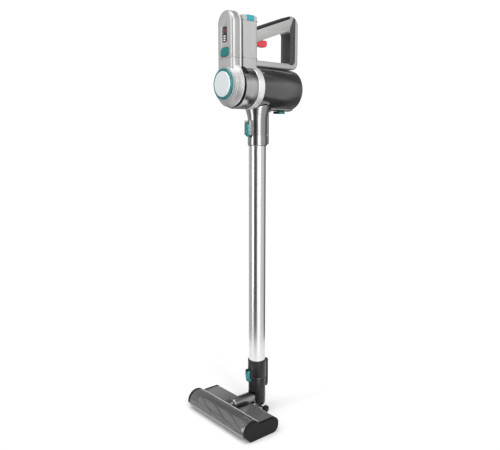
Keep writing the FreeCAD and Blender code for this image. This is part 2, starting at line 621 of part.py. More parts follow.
def make_motor_frame():
    """Stator with its two vented end plates and the bearings in them."""
    plates = []
    for y0, y1 in ((-67.6, -64.0), (-42.0, -38.4)):
        plate = tube("y", 31.0, 4 + RUN, y0, y1, 0, BODY_Z)
        vents = []
        for i in range(6):
            vent = cyl("y", 5.0, y0 - 1, y1 + 1, 20, BODY_Z)
            vent.rotate(V(0, 0, BODY_Z), V(0, 1, 0), 60 * i)
            vents.append(vent)
        plates.append(cut(plate, *vents))
    return fuse(tube("y", 31.0, 16.2, -64, -42, 0, BODY_Z), *plates)



def make_motor_rotor():
    shaft = cyl("y", 4.0, -69.5, -25.0, 0, BODY_Z)
    core = cyl("y", 15.7, -62, -44, 0, BODY_Z)
    return fuse(shaft, core)


def make_impeller():
    hub = tube("y", 9.0, 4.0, -36, -27, 0, BODY_Z)
    disc = tube("y", 29.0, 4.0, -36, -34, 0, BODY_Z)
    blades = []
    for i in range(9):
        blade = box(8, 28.5, -34.5, -28, BODY_Z - 0.7, BODY_Z + 0.7)
        blade.rotate(V(8, 0, BODY_Z), V(0, 1, 0), 24)
        blade.rotate(V(0, 0, BODY_Z), V(0, 1, 0), 40 * i)
        blades.append(blade)
    return fuse(hub, disc, *blades)


# --------------------------------------------------------- cyclone and filters
CYCLONE_Y0 = CUP_FRONT_Y - SEAM
MESH_R = CUP_R - 13.5      # round metal mesh around the cyclone cone
CONE_TIP_R = 9.0
SKIRT_Y = CUP_REAR_Y - 56.0


def make_mesh_filter():
    return tube("y", MESH_R, MESH_R - 1.0, CYCLONE_Y0, SKIRT_Y, 0, BODY_Z)



def make_cyclone_cone():
    y1 = CUP_REAR_Y - 28.0
    wall = 1.8
    skirt = tube("y", MESH_R + 4.0, CONE_TIP_R + 1.0, SKIRT_Y, SKIRT_Y + 3, 0, BODY_Z)
    outer = cone_y(MESH_R - 9.5, CONE_TIP_R, CYCLONE_Y0, y1, BODY_Z)
    inner = cone_y(MESH_R - 9.5 - wall, CONE_TIP_R - wall, CYCLONE_Y0 - 0.01, y1 + 0.01, BODY_Z)
    return cut(fuse(outer, skirt), inner)


def make_cup_seals():
    """Rubber ring inside the cup's mouth, and the curved one at its dirt inlet."""
    mouth = tube("y", CUP_R - CUP_WALL - GAP, CUP_R - CUP_WALL - 3, CYCLONE_Y0, -13.0,
                 0, BODY_Z)
    return Part.makeCompound([mouth, inlet_seal()])


# ------------------------------------------------------------------ dust cup
LID_Y0 = CUP_REAR_Y + SEAM
LID_PIN = (LID_Y0 + 2.2, BODY_Z + CUP_R - 4.2)
LID_PIN_R = 1.2
LUG_X = 9.0


def make_dust_cup():
    wall = tube("y", CUP_R, CUP_R - CUP_WALL, CUP_FRONT_Y, CUP_REAR_Y, 0, BODY_Z)
    port = cyl("z", PORT_R - 0.5, BODY_Z - 60, BODY_Z, 0, PORT_Y)
    lugs = []
    for side in (-1, 1):
        lug = slab("x", [(CUP_REAR_Y - 6, BODY_Z + CUP_R - 6, 0), (LID_Y0 + 4.2, LID_PIN[1] - 2.6, 2),
                         (LID_Y0 + 4.2, LID_PIN[1] + 2.4, 2),
                         (CUP_REAR_Y - 6, BODY_Z + CUP_R - 1.6, 0)],
                   side * LUG_X - 2, side * LUG_X + 2)
        lugs.append(lug)
    pin = cyl("x", LID_PIN_R, -LUG_X - 2, LUG_X + 2, *LID_PIN)
    return cut(fuse(wall, *lugs, pin), port)



def make_cup_lid():
    disc = cyl("y", CUP_R - 0.3, LID_Y0, LID_Y0 + LID_T, 0, BODY_Z)
    disc = soften(disc, 2.5, lambda c: near(c.y, LID_Y0 + LID_T))
    notches = [box(side * LUG_X - 2.5, side * LUG_X + 2.5, LID_Y0 - 1, LID_Y0 + 20,
                   LID_PIN[1] - 4.4, BODY_Z + 90) for side in (-1, 1)]
    dish = cone_y(CUP_R - 12, CUP_R - 9, LID_Y0 + LID_T - 1.2, LID_Y0 + LID_T + 0.01, BODY_Z)
    crown = cut(box(-CUP_R, CUP_R, LID_Y0 - 1, LID_Y0 + LID_T + 1, LID_PIN[1], BODY_Z + CUP_R + 1),
                cyl("x", LID_PIN[0] - LID_Y0, -CUP_R - 1, CUP_R + 1, *LID_PIN))
    return cut(disc, *notches, dish, crown, cyl("x", LID_PIN_R + RUN, -20, 20, *LID_PIN))


def make_lid_seal():
    ring = tube("y", CUP_R - CUP_WALL - GAP, CUP_R - CUP_WALL - 3, LID_Y0 - 2.6, LID_Y0,
                0, BODY_Z)
    return cut(ring, box(-LUG_X - 4, LUG_X + 4, LID_Y0 - 9, LID_Y0 + 1, BODY_Z + 30, BODY_Z + 60))


LATCH_Y0, LATCH_Y1 = 52.0, 84.0


def make_cup_latch():
    z0, z1 = BODY_Z - CUP_R - 8.6, BODY_Z - CUP_R - 3.3
    pad = slab("z", [(-8, LATCH_Y0, 7), (8, LATCH_Y0, 7), (8, LATCH_Y1, 7), (-8, LATCH_Y1, 7)],
               z0, z1)
    pad = soften(pad, 1.8, lambda c: near(c.z, z0))
    tongue = box(-5, 5, LATCH_Y0 + 3, LATCH_Y1 - 3, z1 - 0.5, BODY_Z - CUP_R - 0.9)
    return fuse(pad, tongue)


# ----------------------------------------------------------------------- pod
def pod_form(half_w, top, y0, y1, low):
    return slab("y", [(-half_w, low, 0), (half_w, low, 0), (half_w, top, half_w - 0.01),
                      (-half_w, top, half_w - 0.01)], y0, y1)


def pod_solid():
    top = BODY_Z + POD_TOP
    upper = pod_form(POD_HALF_W, top, POD_FRONT_Y, POD_REAR_Y, BODY_Z)
    upper = soften(upper, 8.0, lambda c: near(c.y, POD_FRONT_Y) and c.z > BODY_Z + 1)
    cone = cone_y(CONE_FRONT_R, CONE_R, CONE_FRONT_Y, CONE_REAR_Y - 2, POD_Z)
    rim = cyl("y", CONE_R, CONE_REAR_Y - 2, CONE_REAR_Y, 0, POD_Z)
    room = pod_form(POD_HALF_W - POD_WALL, top - POD_WALL, POD_FRONT_Y + POD_WALL,
                    POD_REAR_Y + 1, BODY_Z + CONE_R)
    filter_bay = cyl("y", FILTER_R + 1.5, CONE_FRONT_Y - 1, CONE_REAR_Y + 1, 0, POD_Z)
    return cut(fuse(upper, cone, rim), room, filter_bay, body_space(SEAM))


def make_display_cover():
    shell = pod_solid().common(box(-60, 60, -120, 0, BODY_Z + POD_SEAM + SEAM, BODY_Z + 300))
    return cut(shell, display_space(0), power_button_space(SEAM))


def make_filter_housing():
    return pod_solid().common(box(-60, 60, -120, 0, BODY_Z - 90, BODY_Z + POD_SEAM))


def display_space(extra):
    return slab("y", [(-8.5 - extra, BODY_Z + 92.6 - extra, 3.5), (8.5 + extra, BODY_Z + 92.6 - extra, 3.5),
                      (8.5 + extra, BODY_Z + 125.3 + extra, 3.5), (-8.5 - extra, BODY_Z + 125.3 + extra, 3.5)],
                POD_FRONT_Y - 1, POD_FRONT_Y + POD_WALL + 1)


def power_button_space(extra, y0=POD_FRONT_Y - 2, y1=POD_FRONT_Y + POD_WALL + 1):
    """Leaf-shaped outline: two opposite corners are much rounder."""
    x0, x1 = -14.4 - extra, 14.4 + extra
    z0, z1 = BODY_Z + 63.0 - extra, BODY_Z + 81.2 + extra
    return slab("y", [(x0, z0, 5), (x1, z0, 9), (x1, z1, 5), (x0, z1, 9)], y0, y1)


def make_display_window():
    return display_space(0).common(box(-30, 30, POD_FRONT_Y, POD_FRONT_Y + 2.0, 0, 2000))


def make_display_board():
    return box(-20, 20, POD_FRONT_Y + 8, POD_FRONT_Y + 9.6, BODY_Z + 62, BODY_Z + 135)


def make_power_button():
    face = POD_FRONT_Y - 1.2
    cap = power_button_space(0, face, POD_FRONT_Y + POD_WALL + 0.4)
    cap = soften(cap, 0.9, lambda c: near(c.y, face))
    stem = cyl("y", 3.0, POD_FRONT_Y + POD_WALL, POD_FRONT_Y + 5.8, 0, BODY_Z + 72)
    return fuse(cap, stem)


def make_pod_trim():
    """Bright plate that closes the pod, and the ring that edges its round foot."""
    plate = pod_form(POD_HALF_W + 0.4, BODY_Z + POD_TOP + 0.4, POD_REAR_Y, POD_REAR_Y + 4,
                     BODY_Z + 10)
    ring = tube("y", CONE_R + 0.3, FILTER_R + 8, CONE_REAR_Y, CONE_REAR_Y + 3, 0, POD_Z)
    ring = cut(ring, box(-POD_HALF_W - 1, POD_HALF_W + 1, -90, -60, POD_Z + 10, POD_Z + 80))
    return Part.makeCompound([cut(plate, body_space(SEAM)), ring])


def battery_rail():
    plate = pod_form(POD_HALF_W - 2, BODY_Z + BATTERY_TOP + 2, POD_REAR_Y + 4,
                     BATTERY_FRONT_Y - GAP, BODY_Z + 10)
    return cut(plate, body_space(SEAM))


def make_battery_dock():
    """Dark plate behind the pod, and the saddle that the battery drops onto."""
    y0, y1 = HOUSING_FRONT_Y, HOUSING_FRONT_Y + DOCK_L
    saddle = tube("y", BODY_R + DOCK_T, BODY_R, y0, y1, 0, BODY_Z).common(
        box(-41, 41, y0, y1, BODY_Z + 26, BODY_Z + 60))
    half = POD_HALF_W + 0.4 + SEAM
    keep = cut(saddle, box(-half, half, y0 - 1, y1 + 1, BODY_Z + 20, BODY_Z + 60))
    bridge = saddle.common(box(-half - 1, half + 1, BATTERY_FRONT_Y - GAP, y1, 0, 2000))
    return fuse(keep, bridge, battery_rail())


# -------------------------------------------------------------- filter cap
def make_filter_ring():
    y0 = CONE_FRONT_Y - 4.0
    ring = cyl("y", FILTER_RING_R, y0, CONE_FRONT_Y - SEAM, 0, POD_Z)
    ring = soften(ring, 1.6, lambda c: near(c.y, y0))
    plug = cyl("y", FILTER_R + 1.1, CONE_FRONT_Y - SEAM, CONE_FRONT_Y + 2.5, 0, POD_Z)
    return cut(fuse(ring, plug), cyl("y", FILTER_DISC_R, y0 - 1, y0 + 2.5, 0, POD_Z))


def make_filter_disc():
    y0 = CONE_FRONT_Y - 6.2
    disc = cyl("y", FILTER_DISC_R, y0, CONE_FRONT_Y - 1.5, 0, POD_Z)
    return soften(disc, 2.6, lambda c: near(c.y, y0))


def make_hepa_filter():
    return tube("y", FILTER_R, 9.0, CONE_FRONT_Y + 3.2, CONE_REAR_Y - 0.5, 0, POD_Z)


# ------------------------------------------------------------------- battery
BUTTON_Y0, BUTTON_Y1 = -55.0, -35.0


def battery_button_room(extra, x0, x1):
    z0 = BODY_Z + BATTERY_TOP - 13
    return box(x0, x1, BUTTON_Y0 - extra, BUTTON_Y1 + extra, z0 - extra, z0 + 40)


def make_battery_case():
    w, y0, y1 = BATTERY_HALF_W, BATTERY_FRONT_Y, BATTERY_REAR_Y
    top = BODY_Z + BATTERY_TOP
    block = slab("z", [(-w, y0, 3), (w, y0, 3), (w, y1, 9), (-w, y1, 9)], BODY_Z + 20, top)
    block = soften(block, 5.0, lambda c: near(c.z, top) and c.y > y0 + 1)
    floor = BODY_Z + BODY_R + 7
    room = box(-w + 1.8, w - 1.8, y0 + 2, y1 - 2, floor, floor + CELL_L + 2)
    rooms = [battery_button_room(SEAM, w - 8, w + 5), battery_button_room(SEAM, -w - 5, 8 - w)]
    dock = cyl("y", BODY_R + DOCK_T + GAP, y0 - 1, HOUSING_FRONT_Y + DOCK_L + GAP, 0, BODY_Z)
    return cut(block, room, dock, cyl("y", RING_R + GAP, -80, 0, 0, BODY_Z), *rooms)


def make_battery_cells():
    floor = BODY_Z + BODY_R + 7.5
    mid = (BATTERY_FRONT_Y + BATTERY_REAR_Y) / 2
    step = 2 * CELL_R + 0.2
    cells = [cyl("z", CELL_R, floor, floor + CELL_L, i * step, mid + (j - 0.5) * step)
             for i in (-1, 0, 1) for j in (0, 1)]
    return Part.makeCompound(cells)


def make_battery_button(side):
    w = BATTERY_HALF_W
    top = BODY_Z + BATTERY_TOP
    button = battery_button_room(0, w - 4.5, w + 0.6).common(box(0, 60, -90, 0, 0, top - 0.6))
    button = soften(button, 1.2, lambda c: near(c.x, w + 0.6))
    return button if side > 0 else mirror_x(button)


# -------------------------------------------------------------------- handle
BAR_Z0 = BODY_Z + CUP_R + 0.6
HANDLE_Y0 = BATTERY_REAR_Y + GAP
SPINE_T = 6.0


def grip_top(y):
    return BODY_Z + GRIP_FRONT_TOP + GRIP_SLOPE * (y - HANDLE_Y0)


def handle_loop(extra):
    """Opening in the silver frame, grown all round by extra."""
    y0, y1 = HANDLE_Y0 + SPINE_T - extra, HANDLE_REAR_Y - REAR_BAR_T + extra
    lift = extra * math.hypot(1, GRIP_SLOPE)
    return [(y0, BAR_Z0 + BAR_T - extra, 4), (y1, BAR_Z0 + BAR_T - extra, 9 + extra),
            (y1, grip_top(y1) - GRIP_H + lift, 12 + extra), (y0, grip_top(y0) - GRIP_H + lift, 4)]


def hand_room():
    """Opening left for the hand, in front of the thick rear of the liner."""
    w = HANDLE_HALF_W + 1
    y1 = HANDLE_REAR_Y - REAR_BAR_T - REAR_LINER_T
    ahead = slab("x", [(HANDLE_Y0, BAR_Z0 - 9, 0), (y1, BAR_Z0 - 9, 0), (y1, grip_top(y1) - GRIP_H, 12),
                       (HANDLE_Y0, grip_top(HANDLE_Y0), 0)], -w, w)
    return slab("x", handle_loop(0), -w, w).common(ahead)


def handle_solid():
    outline = [(HANDLE_Y0, BAR_Z0, 0), (HANDLE_REAR_Y, BAR_Z0, 16),
               (HANDLE_REAR_Y, grip_top(HANDLE_REAR_Y), 22), (HANDLE_Y0, grip_top(HANDLE_Y0), 0)]
    w = HANDLE_HALF_W
    outer = slab("x", outline, -w, w)
    outer = soften(outer, 4.0, lambda c: near(abs(c.x), w) and c.y > HANDLE_Y0 + 1)
    return cut(outer, hand_room())


def grip_strip_space():
    y0, y1 = HANDLE_Y0 - 1, HANDLE_REAR_Y - 28
    return slab("x", [(y0, grip_top(y0) - GRIP_STRIP_T, 0), (y1, grip_top(y1) - GRIP_STRIP_T, 0),
                      (y1 + 8, grip_top(y1) + 30, 0), (y0, grip_top(y0) + 30, 0)],
                -HANDLE_HALF_W - 1, HANDLE_HALF_W + 1)


def liner_space(half_w):
    """Room of the liner, whose rear block shows on both sides of the handle."""
    band = slab("x", handle_loop(LINER_T), -HANDLE_HALF_W + 2, HANDLE_HALF_W - 2)
    low = box(-60, 60, HANDLE_Y0 + SPINE_T, HANDLE_REAR_Y, BAR_Z0, BAR_Z0 + 24)
    y0, y1 = HANDLE_REAR_Y - REAR_BAR_T - REAR_LINER_T, HANDLE_REAR_Y - REAR_BAR_T + 1
    skin = 8.0
    rear = slab("x", [(y0 - 2, BAR_Z0 + BAR_T - LINER_T, 0), (y1, BAR_Z0 + BAR_T - LINER_T, 10),
                      (y1, grip_top(y1) - skin, 4), (y1 - 6, grip_top(y1) - skin, 2),
                      (y0 - 2, grip_top(y0) - GRIP_H + 1, 0)], -half_w, half_w)
    return fuse(band.common(low), rear)


TRIGGER_Y0, TRIGGER_Y1 = HANDLE_Y0 + SPINE_T + 0.6, 23.4
TRIGGER_Z = BODY_Z + 92.0
TRIGGER_PIN = (TRIGGER_Y0 + 4.5, TRIGGER_Z + 9.4)


def trigger_pocket():
    return box(-8.2, 8.2, HANDLE_Y0 + SPINE_T, TRIGGER_Y1 + 3, TRIGGER_Z, TRIGGER_Z + 24)


def grip_room():
    """Hollow of the grip, where the switch and wires are."""
    y0, y1 = HANDLE_Y0 + 3, 84.0
    return slab("x", [(y0, grip_top(y0) - GRIP_H + 5, 3), (y1, grip_top(y1) - GRIP_H + 5, 3),
                      (y1, grip_top(y1) - GRIP_STRIP_T - 2.5, 3),
                      (y0, grip_top(y0) - GRIP_STRIP_T - 2.5, 3)], -11.5, 11.5)


def make_handle_frame():
    return cut(handle_solid(), grip_strip_space(), liner_space(HANDLE_HALF_W + 1), trigger_pocket(), grip_room(),
               cyl("x", TRIGGER_PIN_R, -11, 11, *TRIGGER_PIN),
               cyl("y", RING_R, -60, CUP_FRONT_Y, 0, BODY_Z))


def make_grip_strip():
    return handle_solid().common(grip_strip_space())


def make_handle_liner():
    return handle_solid().common(liner_space(HANDLE_HALF_W - 0.5))


def make_trigger():
    y0, y1, z = TRIGGER_Y0, TRIGGER_Y1, TRIGGER_Z
    form = slab("x", [(y0, z + 2, 2), (y1 - 4, z, 4), (y1, z + 7, 4), (y1 - 2, z + 15, 2),
                      (y0, z + 13, 2)], -7.5, 7.5)
    form = soften(form, 1.5, lambda c: near(abs(c.x), 7.5))
    return cut(form, cyl("x", TRIGGER_PIN_R + RUN, -9, 9, *TRIGGER_PIN))


def make_hinge_pins():
    """Pins of the trigger and of the upper release button."""
    return Part.makeCompound([cyl("x", TRIGGER_PIN_R, -11, 11, *TRIGGER_PIN),
                              make_button_pin(TOP_PIN)])


def make_trigger_spring():
    return tube("z", 3.0, 2.2, TRIGGER_Z + 15.2, TRIGGER_Z + 23.6, 0, 12)



# -------------------------------------------------------------------- export
PIECES = {
    "head_base": make_head_base(),
    "head_cover": make_head_cover(),
    "brush_window": make_brush_window(),
    "front_lip": make_front_lip(),
    "end_cap_left": make_end_cap(-1),
    "end_cap_right": make_end_cap(1),
    "brush_motor": make_brush_motor(),
    "motor_pulley": make_motor_pulley(),
    "drive_belt": make_drive_belt(),
    "brush_roller": make_brush_roller(),
    "brush_bristles": make_brush_bristles(),
    "brush_bearings": make_brush_bearings(),
    "cover_screws": make_cover_screws(),
    "swivel_barrel": make_swivel_barrel(),
    "rear_axle": make_rear_axle(),
    "rear_wheel_left": make_rear_wheel(-1),
    "rear_wheel_right": make_rear_wheel(1),
    "floor_neck": make_floor_neck(),
    "pivot_pins": make_pivot_pins(),
    "wand_sleeve": make_wand_sleeve(),
    "wand_tube": make_wand_tube(),
    "wand_collar": make_wand_collar(),
    "wand_wiring": make_wand_wiring(),
    "lower_button": make_button(LOW_BUTTON, LOW_PIN),
    "upper_button": make_button(TOP_BUTTON, TOP_PIN),
    "inlet_neck": make_inlet_neck(),
    "cup_rail": make_cup_rail(),
    "motor_housing": make_motor_housing(),
    "groove_ring": make_groove_ring(),
    "collar_ring": make_collar_ring(),
    "motor_frame": make_motor_frame(),
    "motor_rotor": make_motor_rotor(),
    "impeller": make_impeller(),
    "mesh_filter": make_mesh_filter(),
    "cyclone_cone": make_cyclone_cone(),
    "cup_seals": make_cup_seals(),
    "dust_cup": make_dust_cup(),
    "cup_lid": make_cup_lid(),
    "lid_seal": make_lid_seal(),
    "cup_latch": make_cup_latch(),
    "display_cover": make_display_cover(),
    "filter_housing": make_filter_housing(),
    "pod_trim": make_pod_trim(),
    "display_window": make_display_window(),
    "display_board": make_display_board(),
    "power_button": make_power_button(),
    "battery_dock": make_battery_dock(),
    "filter_ring": make_filter_ring(),
    "filter_disc": make_filter_disc(),
    "hepa_filter": make_hepa_filter(),
    "battery_case": make_battery_case(),
    "battery_cells": make_battery_cells(),
    "battery_button_left": make_battery_button(-1),
    "battery_button_right": make_battery_button(1),
    "handle_frame": make_handle_frame(),
    "grip_strip": make_grip_strip(),
    "handle_liner": make_handle_liner(),
    "trigger": make_trigger(),
    "hinge_pins": make_hinge_pins(),
    "trigger_spring": make_trigger_spring(),
}

os.makedirs("parts", exist_ok=True)
for name, shape in PIECES.items():
    piece = shape.copy()
    piece.translate(V(0, SHIFT_Y, 0))
    whole = [s.isValid() for s in piece.Solids]
    if not whole or not all(whole):
        raise SystemExit(name + " is not a sound solid")
    piece.exportStep("parts/" + name + ".step")
    print(name, len(piece.Solids), "solids", round(sum(s.Volume for s in piece.Solids)), "mm3")
print(len(PIECES), "pieces; origin is", round(SHIFT_Y, 3), "mm in front of the wand axis")
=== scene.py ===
# %% [markdown]
# # Cordless stick vacuum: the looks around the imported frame
# The frame holds every part at its true size and place, so this script only
# asks where things are and dresses them. Lengths are metres, Z is up, the
# machine's front faces -Y, and the wand stands upright behind the floor head.

# %% Load the frame
import bmesh
import bpy
import json
import math
from mathutils import Matrix, Vector


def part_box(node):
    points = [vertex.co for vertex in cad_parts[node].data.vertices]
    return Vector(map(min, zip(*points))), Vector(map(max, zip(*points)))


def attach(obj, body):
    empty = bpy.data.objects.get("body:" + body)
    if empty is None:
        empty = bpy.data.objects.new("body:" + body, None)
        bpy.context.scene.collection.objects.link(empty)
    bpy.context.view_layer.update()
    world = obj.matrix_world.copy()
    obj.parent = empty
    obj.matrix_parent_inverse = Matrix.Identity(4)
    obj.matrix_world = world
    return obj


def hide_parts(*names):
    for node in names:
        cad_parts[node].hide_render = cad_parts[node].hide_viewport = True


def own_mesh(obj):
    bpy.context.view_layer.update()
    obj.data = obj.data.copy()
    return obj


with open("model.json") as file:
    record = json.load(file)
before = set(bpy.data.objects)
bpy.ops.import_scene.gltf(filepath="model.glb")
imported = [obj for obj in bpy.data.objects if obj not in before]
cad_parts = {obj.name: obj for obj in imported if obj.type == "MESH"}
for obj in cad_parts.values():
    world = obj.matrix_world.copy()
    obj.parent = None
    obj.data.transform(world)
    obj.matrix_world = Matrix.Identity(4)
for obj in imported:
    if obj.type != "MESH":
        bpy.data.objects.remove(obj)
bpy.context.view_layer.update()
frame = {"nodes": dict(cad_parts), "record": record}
NODES = frame["nodes"]
BODY_OF = {node: body for body, nodes in frame["record"]["behaviour"]["bodies"].items()
           for node in nodes}
SLOT_OF = {part["node"]: part["material_slot"] for part in frame["record"]["subparts"]}
MM = 0.001

# %% [markdown]
# ## Camera
# The eye is far enough from this tall thin machine that its two ends look
# alike. It stands in front of it on the +X side, a little above the middle, and
# looks slightly down.

# %% Place the camera
WAND_LOW, WAND_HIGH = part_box("wand_tube")
WAND = (WAND_LOW + WAND_HIGH) / 2
EYE = Vector((WAND.x + 0.9974, WAND.y - 0.8593, 0.6760))
LENS_MM, SENSOR_MM = 40.36, 36.0
LOOK = Vector((-0.7565, 0.6348, -0.1573))
camera_data = bpy.data.cameras.new("camera")
camera_data.lens = LENS_MM
camera_data.sensor_width = SENSOR_MM
camera = bpy.data.objects.new("camera", camera_data)
camera.location = EYE
camera.rotation_euler = LOOK.to_track_quat("-Z", "Y").to_euler()
bpy.context.scene.collection.objects.link(camera)
bpy.context.scene.camera = camera
print("camera", round((EYE - WAND).length, 3), "m from the wand's middle")

# %% [markdown]
# ## Floor
# One round sheet of white paper. The room around it is as white as the paper
# is once lit, so its edge hardly shows.

# %% Lay the floor
FLOOR_R = 0.5


def paper_floor():
    bm = bmesh.new()
    bmesh.ops.create_circle(bm, cap_ends=True, segments=128, radius=FLOOR_R)
    mesh = bpy.data.meshes.new("floor")
    bm.to_mesh(mesh)
    bm.free()
    sheet = bpy.data.objects.new("floor", mesh)
    sheet.location = (WAND.x, WAND.y, 0)
    bpy.context.scene.collection.objects.link(sheet)
    return sheet


floor = paper_floor()
print("floor", 2 * FLOOR_R, "m across")

# %% [markdown]
# ## Finishes
# Each finish is one Principled shader with a little procedural detail: a fine
# moulding grain, lacquer flakes or drawn streaks. Shader sums are written as
# plain Python, so a small class stands for a socket and adds Math nodes.

# %% Sockets that take part in sums
class Signal:
    """The output of a node. Sums on it add Math nodes."""

    def __init__(self, graph, socket):
        self.graph = graph
        self.socket = socket

    def calc(self, operation, *values):
        return self.graph.add("ShaderNodeMath", {"operation": operation}, *values)

    def __add__(self, other):
        return self.calc("ADD", self, other)

    def __sub__(self, other):
        return self.calc("SUBTRACT", self, other)

    def __mul__(self, other):
        return self.calc("MULTIPLY", self, other)

    def __truediv__(self, other):
        return self.calc("DIVIDE", self, other)

    __radd__ = __add__


class Graph:
    """The node tree of a material or of the world."""

    def __init__(self, owner):
        owner.use_nodes = True
        self.nodes = owner.node_tree.nodes
        self.links = owner.node_tree.links

    def add(self, kind, settings, *values, out=0, **named):
        """A node of that kind, its settings first, then its sockets; gives one output."""
        node = self.nodes.new(kind)
        for key, value in settings.items():
            if key == "stops":
                while len(node.color_ramp.elements) < len(value):
                    node.color_ramp.elements.new(0.5)
                for element, (place, shade) in zip(node.color_ramp.elements, value):
                    element.position = place
                    element.color = (shade, shade, shade, 1)
            else:
                setattr(node, key, value)
        for key, value in [*enumerate(values), *named.items()]:
            self.join(node.inputs[key], value)
        return Signal(self, node.outputs[out])

    def join(self, socket, value):
        if isinstance(value, Signal):
            self.links.new(value.socket, socket)
        else:
            socket.default_value = value


class Finish(Graph):
    """One material: a Principled shader and the nodes that feed it."""

    def __init__(self, name, colour, **settings):
        self.material = bpy.data.materials.new(name)
        super().__init__(self.material)
        self.material.diffuse_color = (*colour, 1)
        self.shader = self.nodes["Principled BSDF"]
        self.feed("Base Color", (*colour, 1))
        for socket, value in settings.items():
            self.feed(socket.replace("_", " ").title().replace("Ior", "IOR"), value)

    def feed(self, socket, value):
        self.join(self.shader.inputs[socket], value)

    def place(self):
        """Where a point is on the object, in metres."""
        return self.add("ShaderNodeTexCoord", {}, out="Object")

    def noise(self, grain, detail=2.0, stretch=(1, 1, 1)):
        """Even noise from 0 to 1 whose spots are about grain metres wide."""
        spot = self.add("ShaderNodeMapping", {}, self.place(), Scale=stretch)
        return self.add("ShaderNodeTexNoise", {}, spot, Scale=1 / grain, Detail=detail, out=0)

    def mix(self, amount, first, second):
        """Blend two colours; the Mix node's colour sockets are found by type."""
        blend = self.nodes.new("ShaderNodeMix")
        blend.data_type = "RGBA"
        colours = [socket for socket in blend.inputs if socket.type == "RGBA"]
        self.join(blend.inputs[0], amount)
        self.join(colours[0], first)
        self.join(colours[1], second)
        return Signal(self, next(s for s in blend.outputs if s.type == "RGBA"))

    def bump(self, height, depth):
        self.feed("Normal", self.add("ShaderNodeBump", {}, Strength=1.0, Distance=depth, Height=height))


print("graph helpers ready")

# %% [markdown]
# ## Light
# A broad sun lights the paper evenly. Two tall soft boxes stand left and right
# of the camera for the long highlights, and a wide box lights the tops.

# %% Hang the lights
def aimed(name, kind, at, watts):
    """A light that looks at the wand's middle."""
    data = bpy.data.lights.new(name, kind)
    data.energy = watts
    light = bpy.data.objects.new(name, data)
    light.location = at
    light.rotation_euler = (WAND - Vector(at)).to_track_quat("-Z", "Y").to_euler()
    bpy.context.scene.collection.objects.link(light)
    return data


def soft_box(name, at, size, watts):
    box = aimed(name, "AREA", at, watts)
    box.shape = "RECTANGLE"
    box.size, box.size_y = size


def around(turn, reach, height):
    """A place around the wand: turn in degrees to the right of the camera."""
    start = Vector((EYE.x - WAND.x, EYE.y - WAND.y, 0)).normalized() * reach
    lift = Vector((0, 0, height - WAND.z))
    return WAND + Matrix.Rotation(math.radians(turn), 3, "Z") @ start + lift


SUN_WATTS, SUN_WIDTH = 1.1, math.radians(50)
sun = aimed("sun", "SUN", around(-30, 1.0, 4.0), SUN_WATTS)
sun.angle = SUN_WIDTH
SOFT_BOXES = [("key_left", (-62, 2.0, 0.9), (0.50, 2.6), 16),
              ("key_right", (24, 2.0, 0.9), (0.60, 2.6), 24),
              ("top", (10, 0.5, 2.6), (2.0, 2.0), 12)]
for name, place, size, watts in SOFT_BOXES:
    soft_box(name, around(*place), size, watts)
print("a sun and", len(SOFT_BOXES), "soft boxes")

# %% [markdown]
# The room is white to the eye and a soft fill to matt surfaces. What mirrored
# rays see of it is a ring of screens: bright ones beside the camera, and a dark
# one just left of it that draws the dark line down every round metal part.

# %% Room light
SEEN, FILL, SCREEN_GAIN = 1.05, 0.62, 1.12
SCREENS = [(-180, 0.30), (-140, 0.45), (-120, 0.60), (-95, 0.28), (-78, 0.40), (-66, 0.85),
           (-52, 0.85), (-44, 0.06), (-6, 0.05), (4, 0.95), (36, 0.95), (58, 0.62),
           (96, 0.66), (116, 0.14), (150, 0.14), (180, 0.30)]
HEIGHTS = [(-90, 0.15), (-46, 0.12), (-34, 0.95), (-8, 1.0), (22, 1.15), (34, 0.55),
           (46, 0.30), (64, 0.60), (90, 0.50)]


def ramp_stops(pairs, lowest, span):
    """Angles in degrees made places from 0 to 1 along a colour ramp."""
    return [((at - lowest) / span, shade) for at, shade in pairs]


world = bpy.data.worlds.new("room")
bpy.context.scene.world = world
room = Graph(world)
way = room.add("ShaderNodeTexCoord", {}, out="Generated")
eye_turn = math.atan2(EYE.y - WAND.y, EYE.x - WAND.x)
turned_way = room.add("ShaderNodeVectorRotate", {"rotation_type": "Z_AXIS"}, way, Angle=-eye_turn)
across, forward = [room.add("ShaderNodeSeparateXYZ", {}, turned_way, out=axis) for axis in "XY"]
turn = forward.calc("ARCTAN2", forward, across) / math.tau + 0.5
height = room.add("ShaderNodeSeparateXYZ", {}, way, out="Z")
rise = height.calc("ARCSINE", height) / math.pi + 0.5
round_shade = room.add("ShaderNodeValToRGB", {"stops": ramp_stops(SCREENS, -180, 360)}, turn)
upward_shade = room.add("ShaderNodeValToRGB", {"stops": ramp_stops(HEIGHTS, -90, 180)}, rise)
screens = round_shade * upward_shade * SCREEN_GAIN


def choose(test, other, value):
    """The value where a ray passes the test, otherwise the other."""
    seen = room.add("ShaderNodeLightPath", {}, out=test)
    return room.add("ShaderNodeMix", {}, Factor=seen, A=other, B=value)


strength = choose("Is Camera Ray", choose("Is Glossy Ray", FILL, screens), SEEN)
room.join(room.nodes["Background"].inputs["Strength"], strength)
room.join(room.nodes["Background"].inputs["Color"], (1.0, 1.0, 1.0, 1.0))
bpy.context.scene.view_settings.view_transform = "Standard"
print("room", SEEN, "seen,", FILL, "fill,", len(SCREENS), "stops around,", len(HEIGHTS), "upwards")

# %% [markdown]
# ## Moulded plastics
# Injection moulded parts come out of spark-eroded tools, so matt ones carry an
# even grain of about a third of a millimetre and glossy ones a slow waviness.

# %% Plastics
def tint(colour, factor):
    return (*(min(1.0, c * factor) for c in colour), 1)


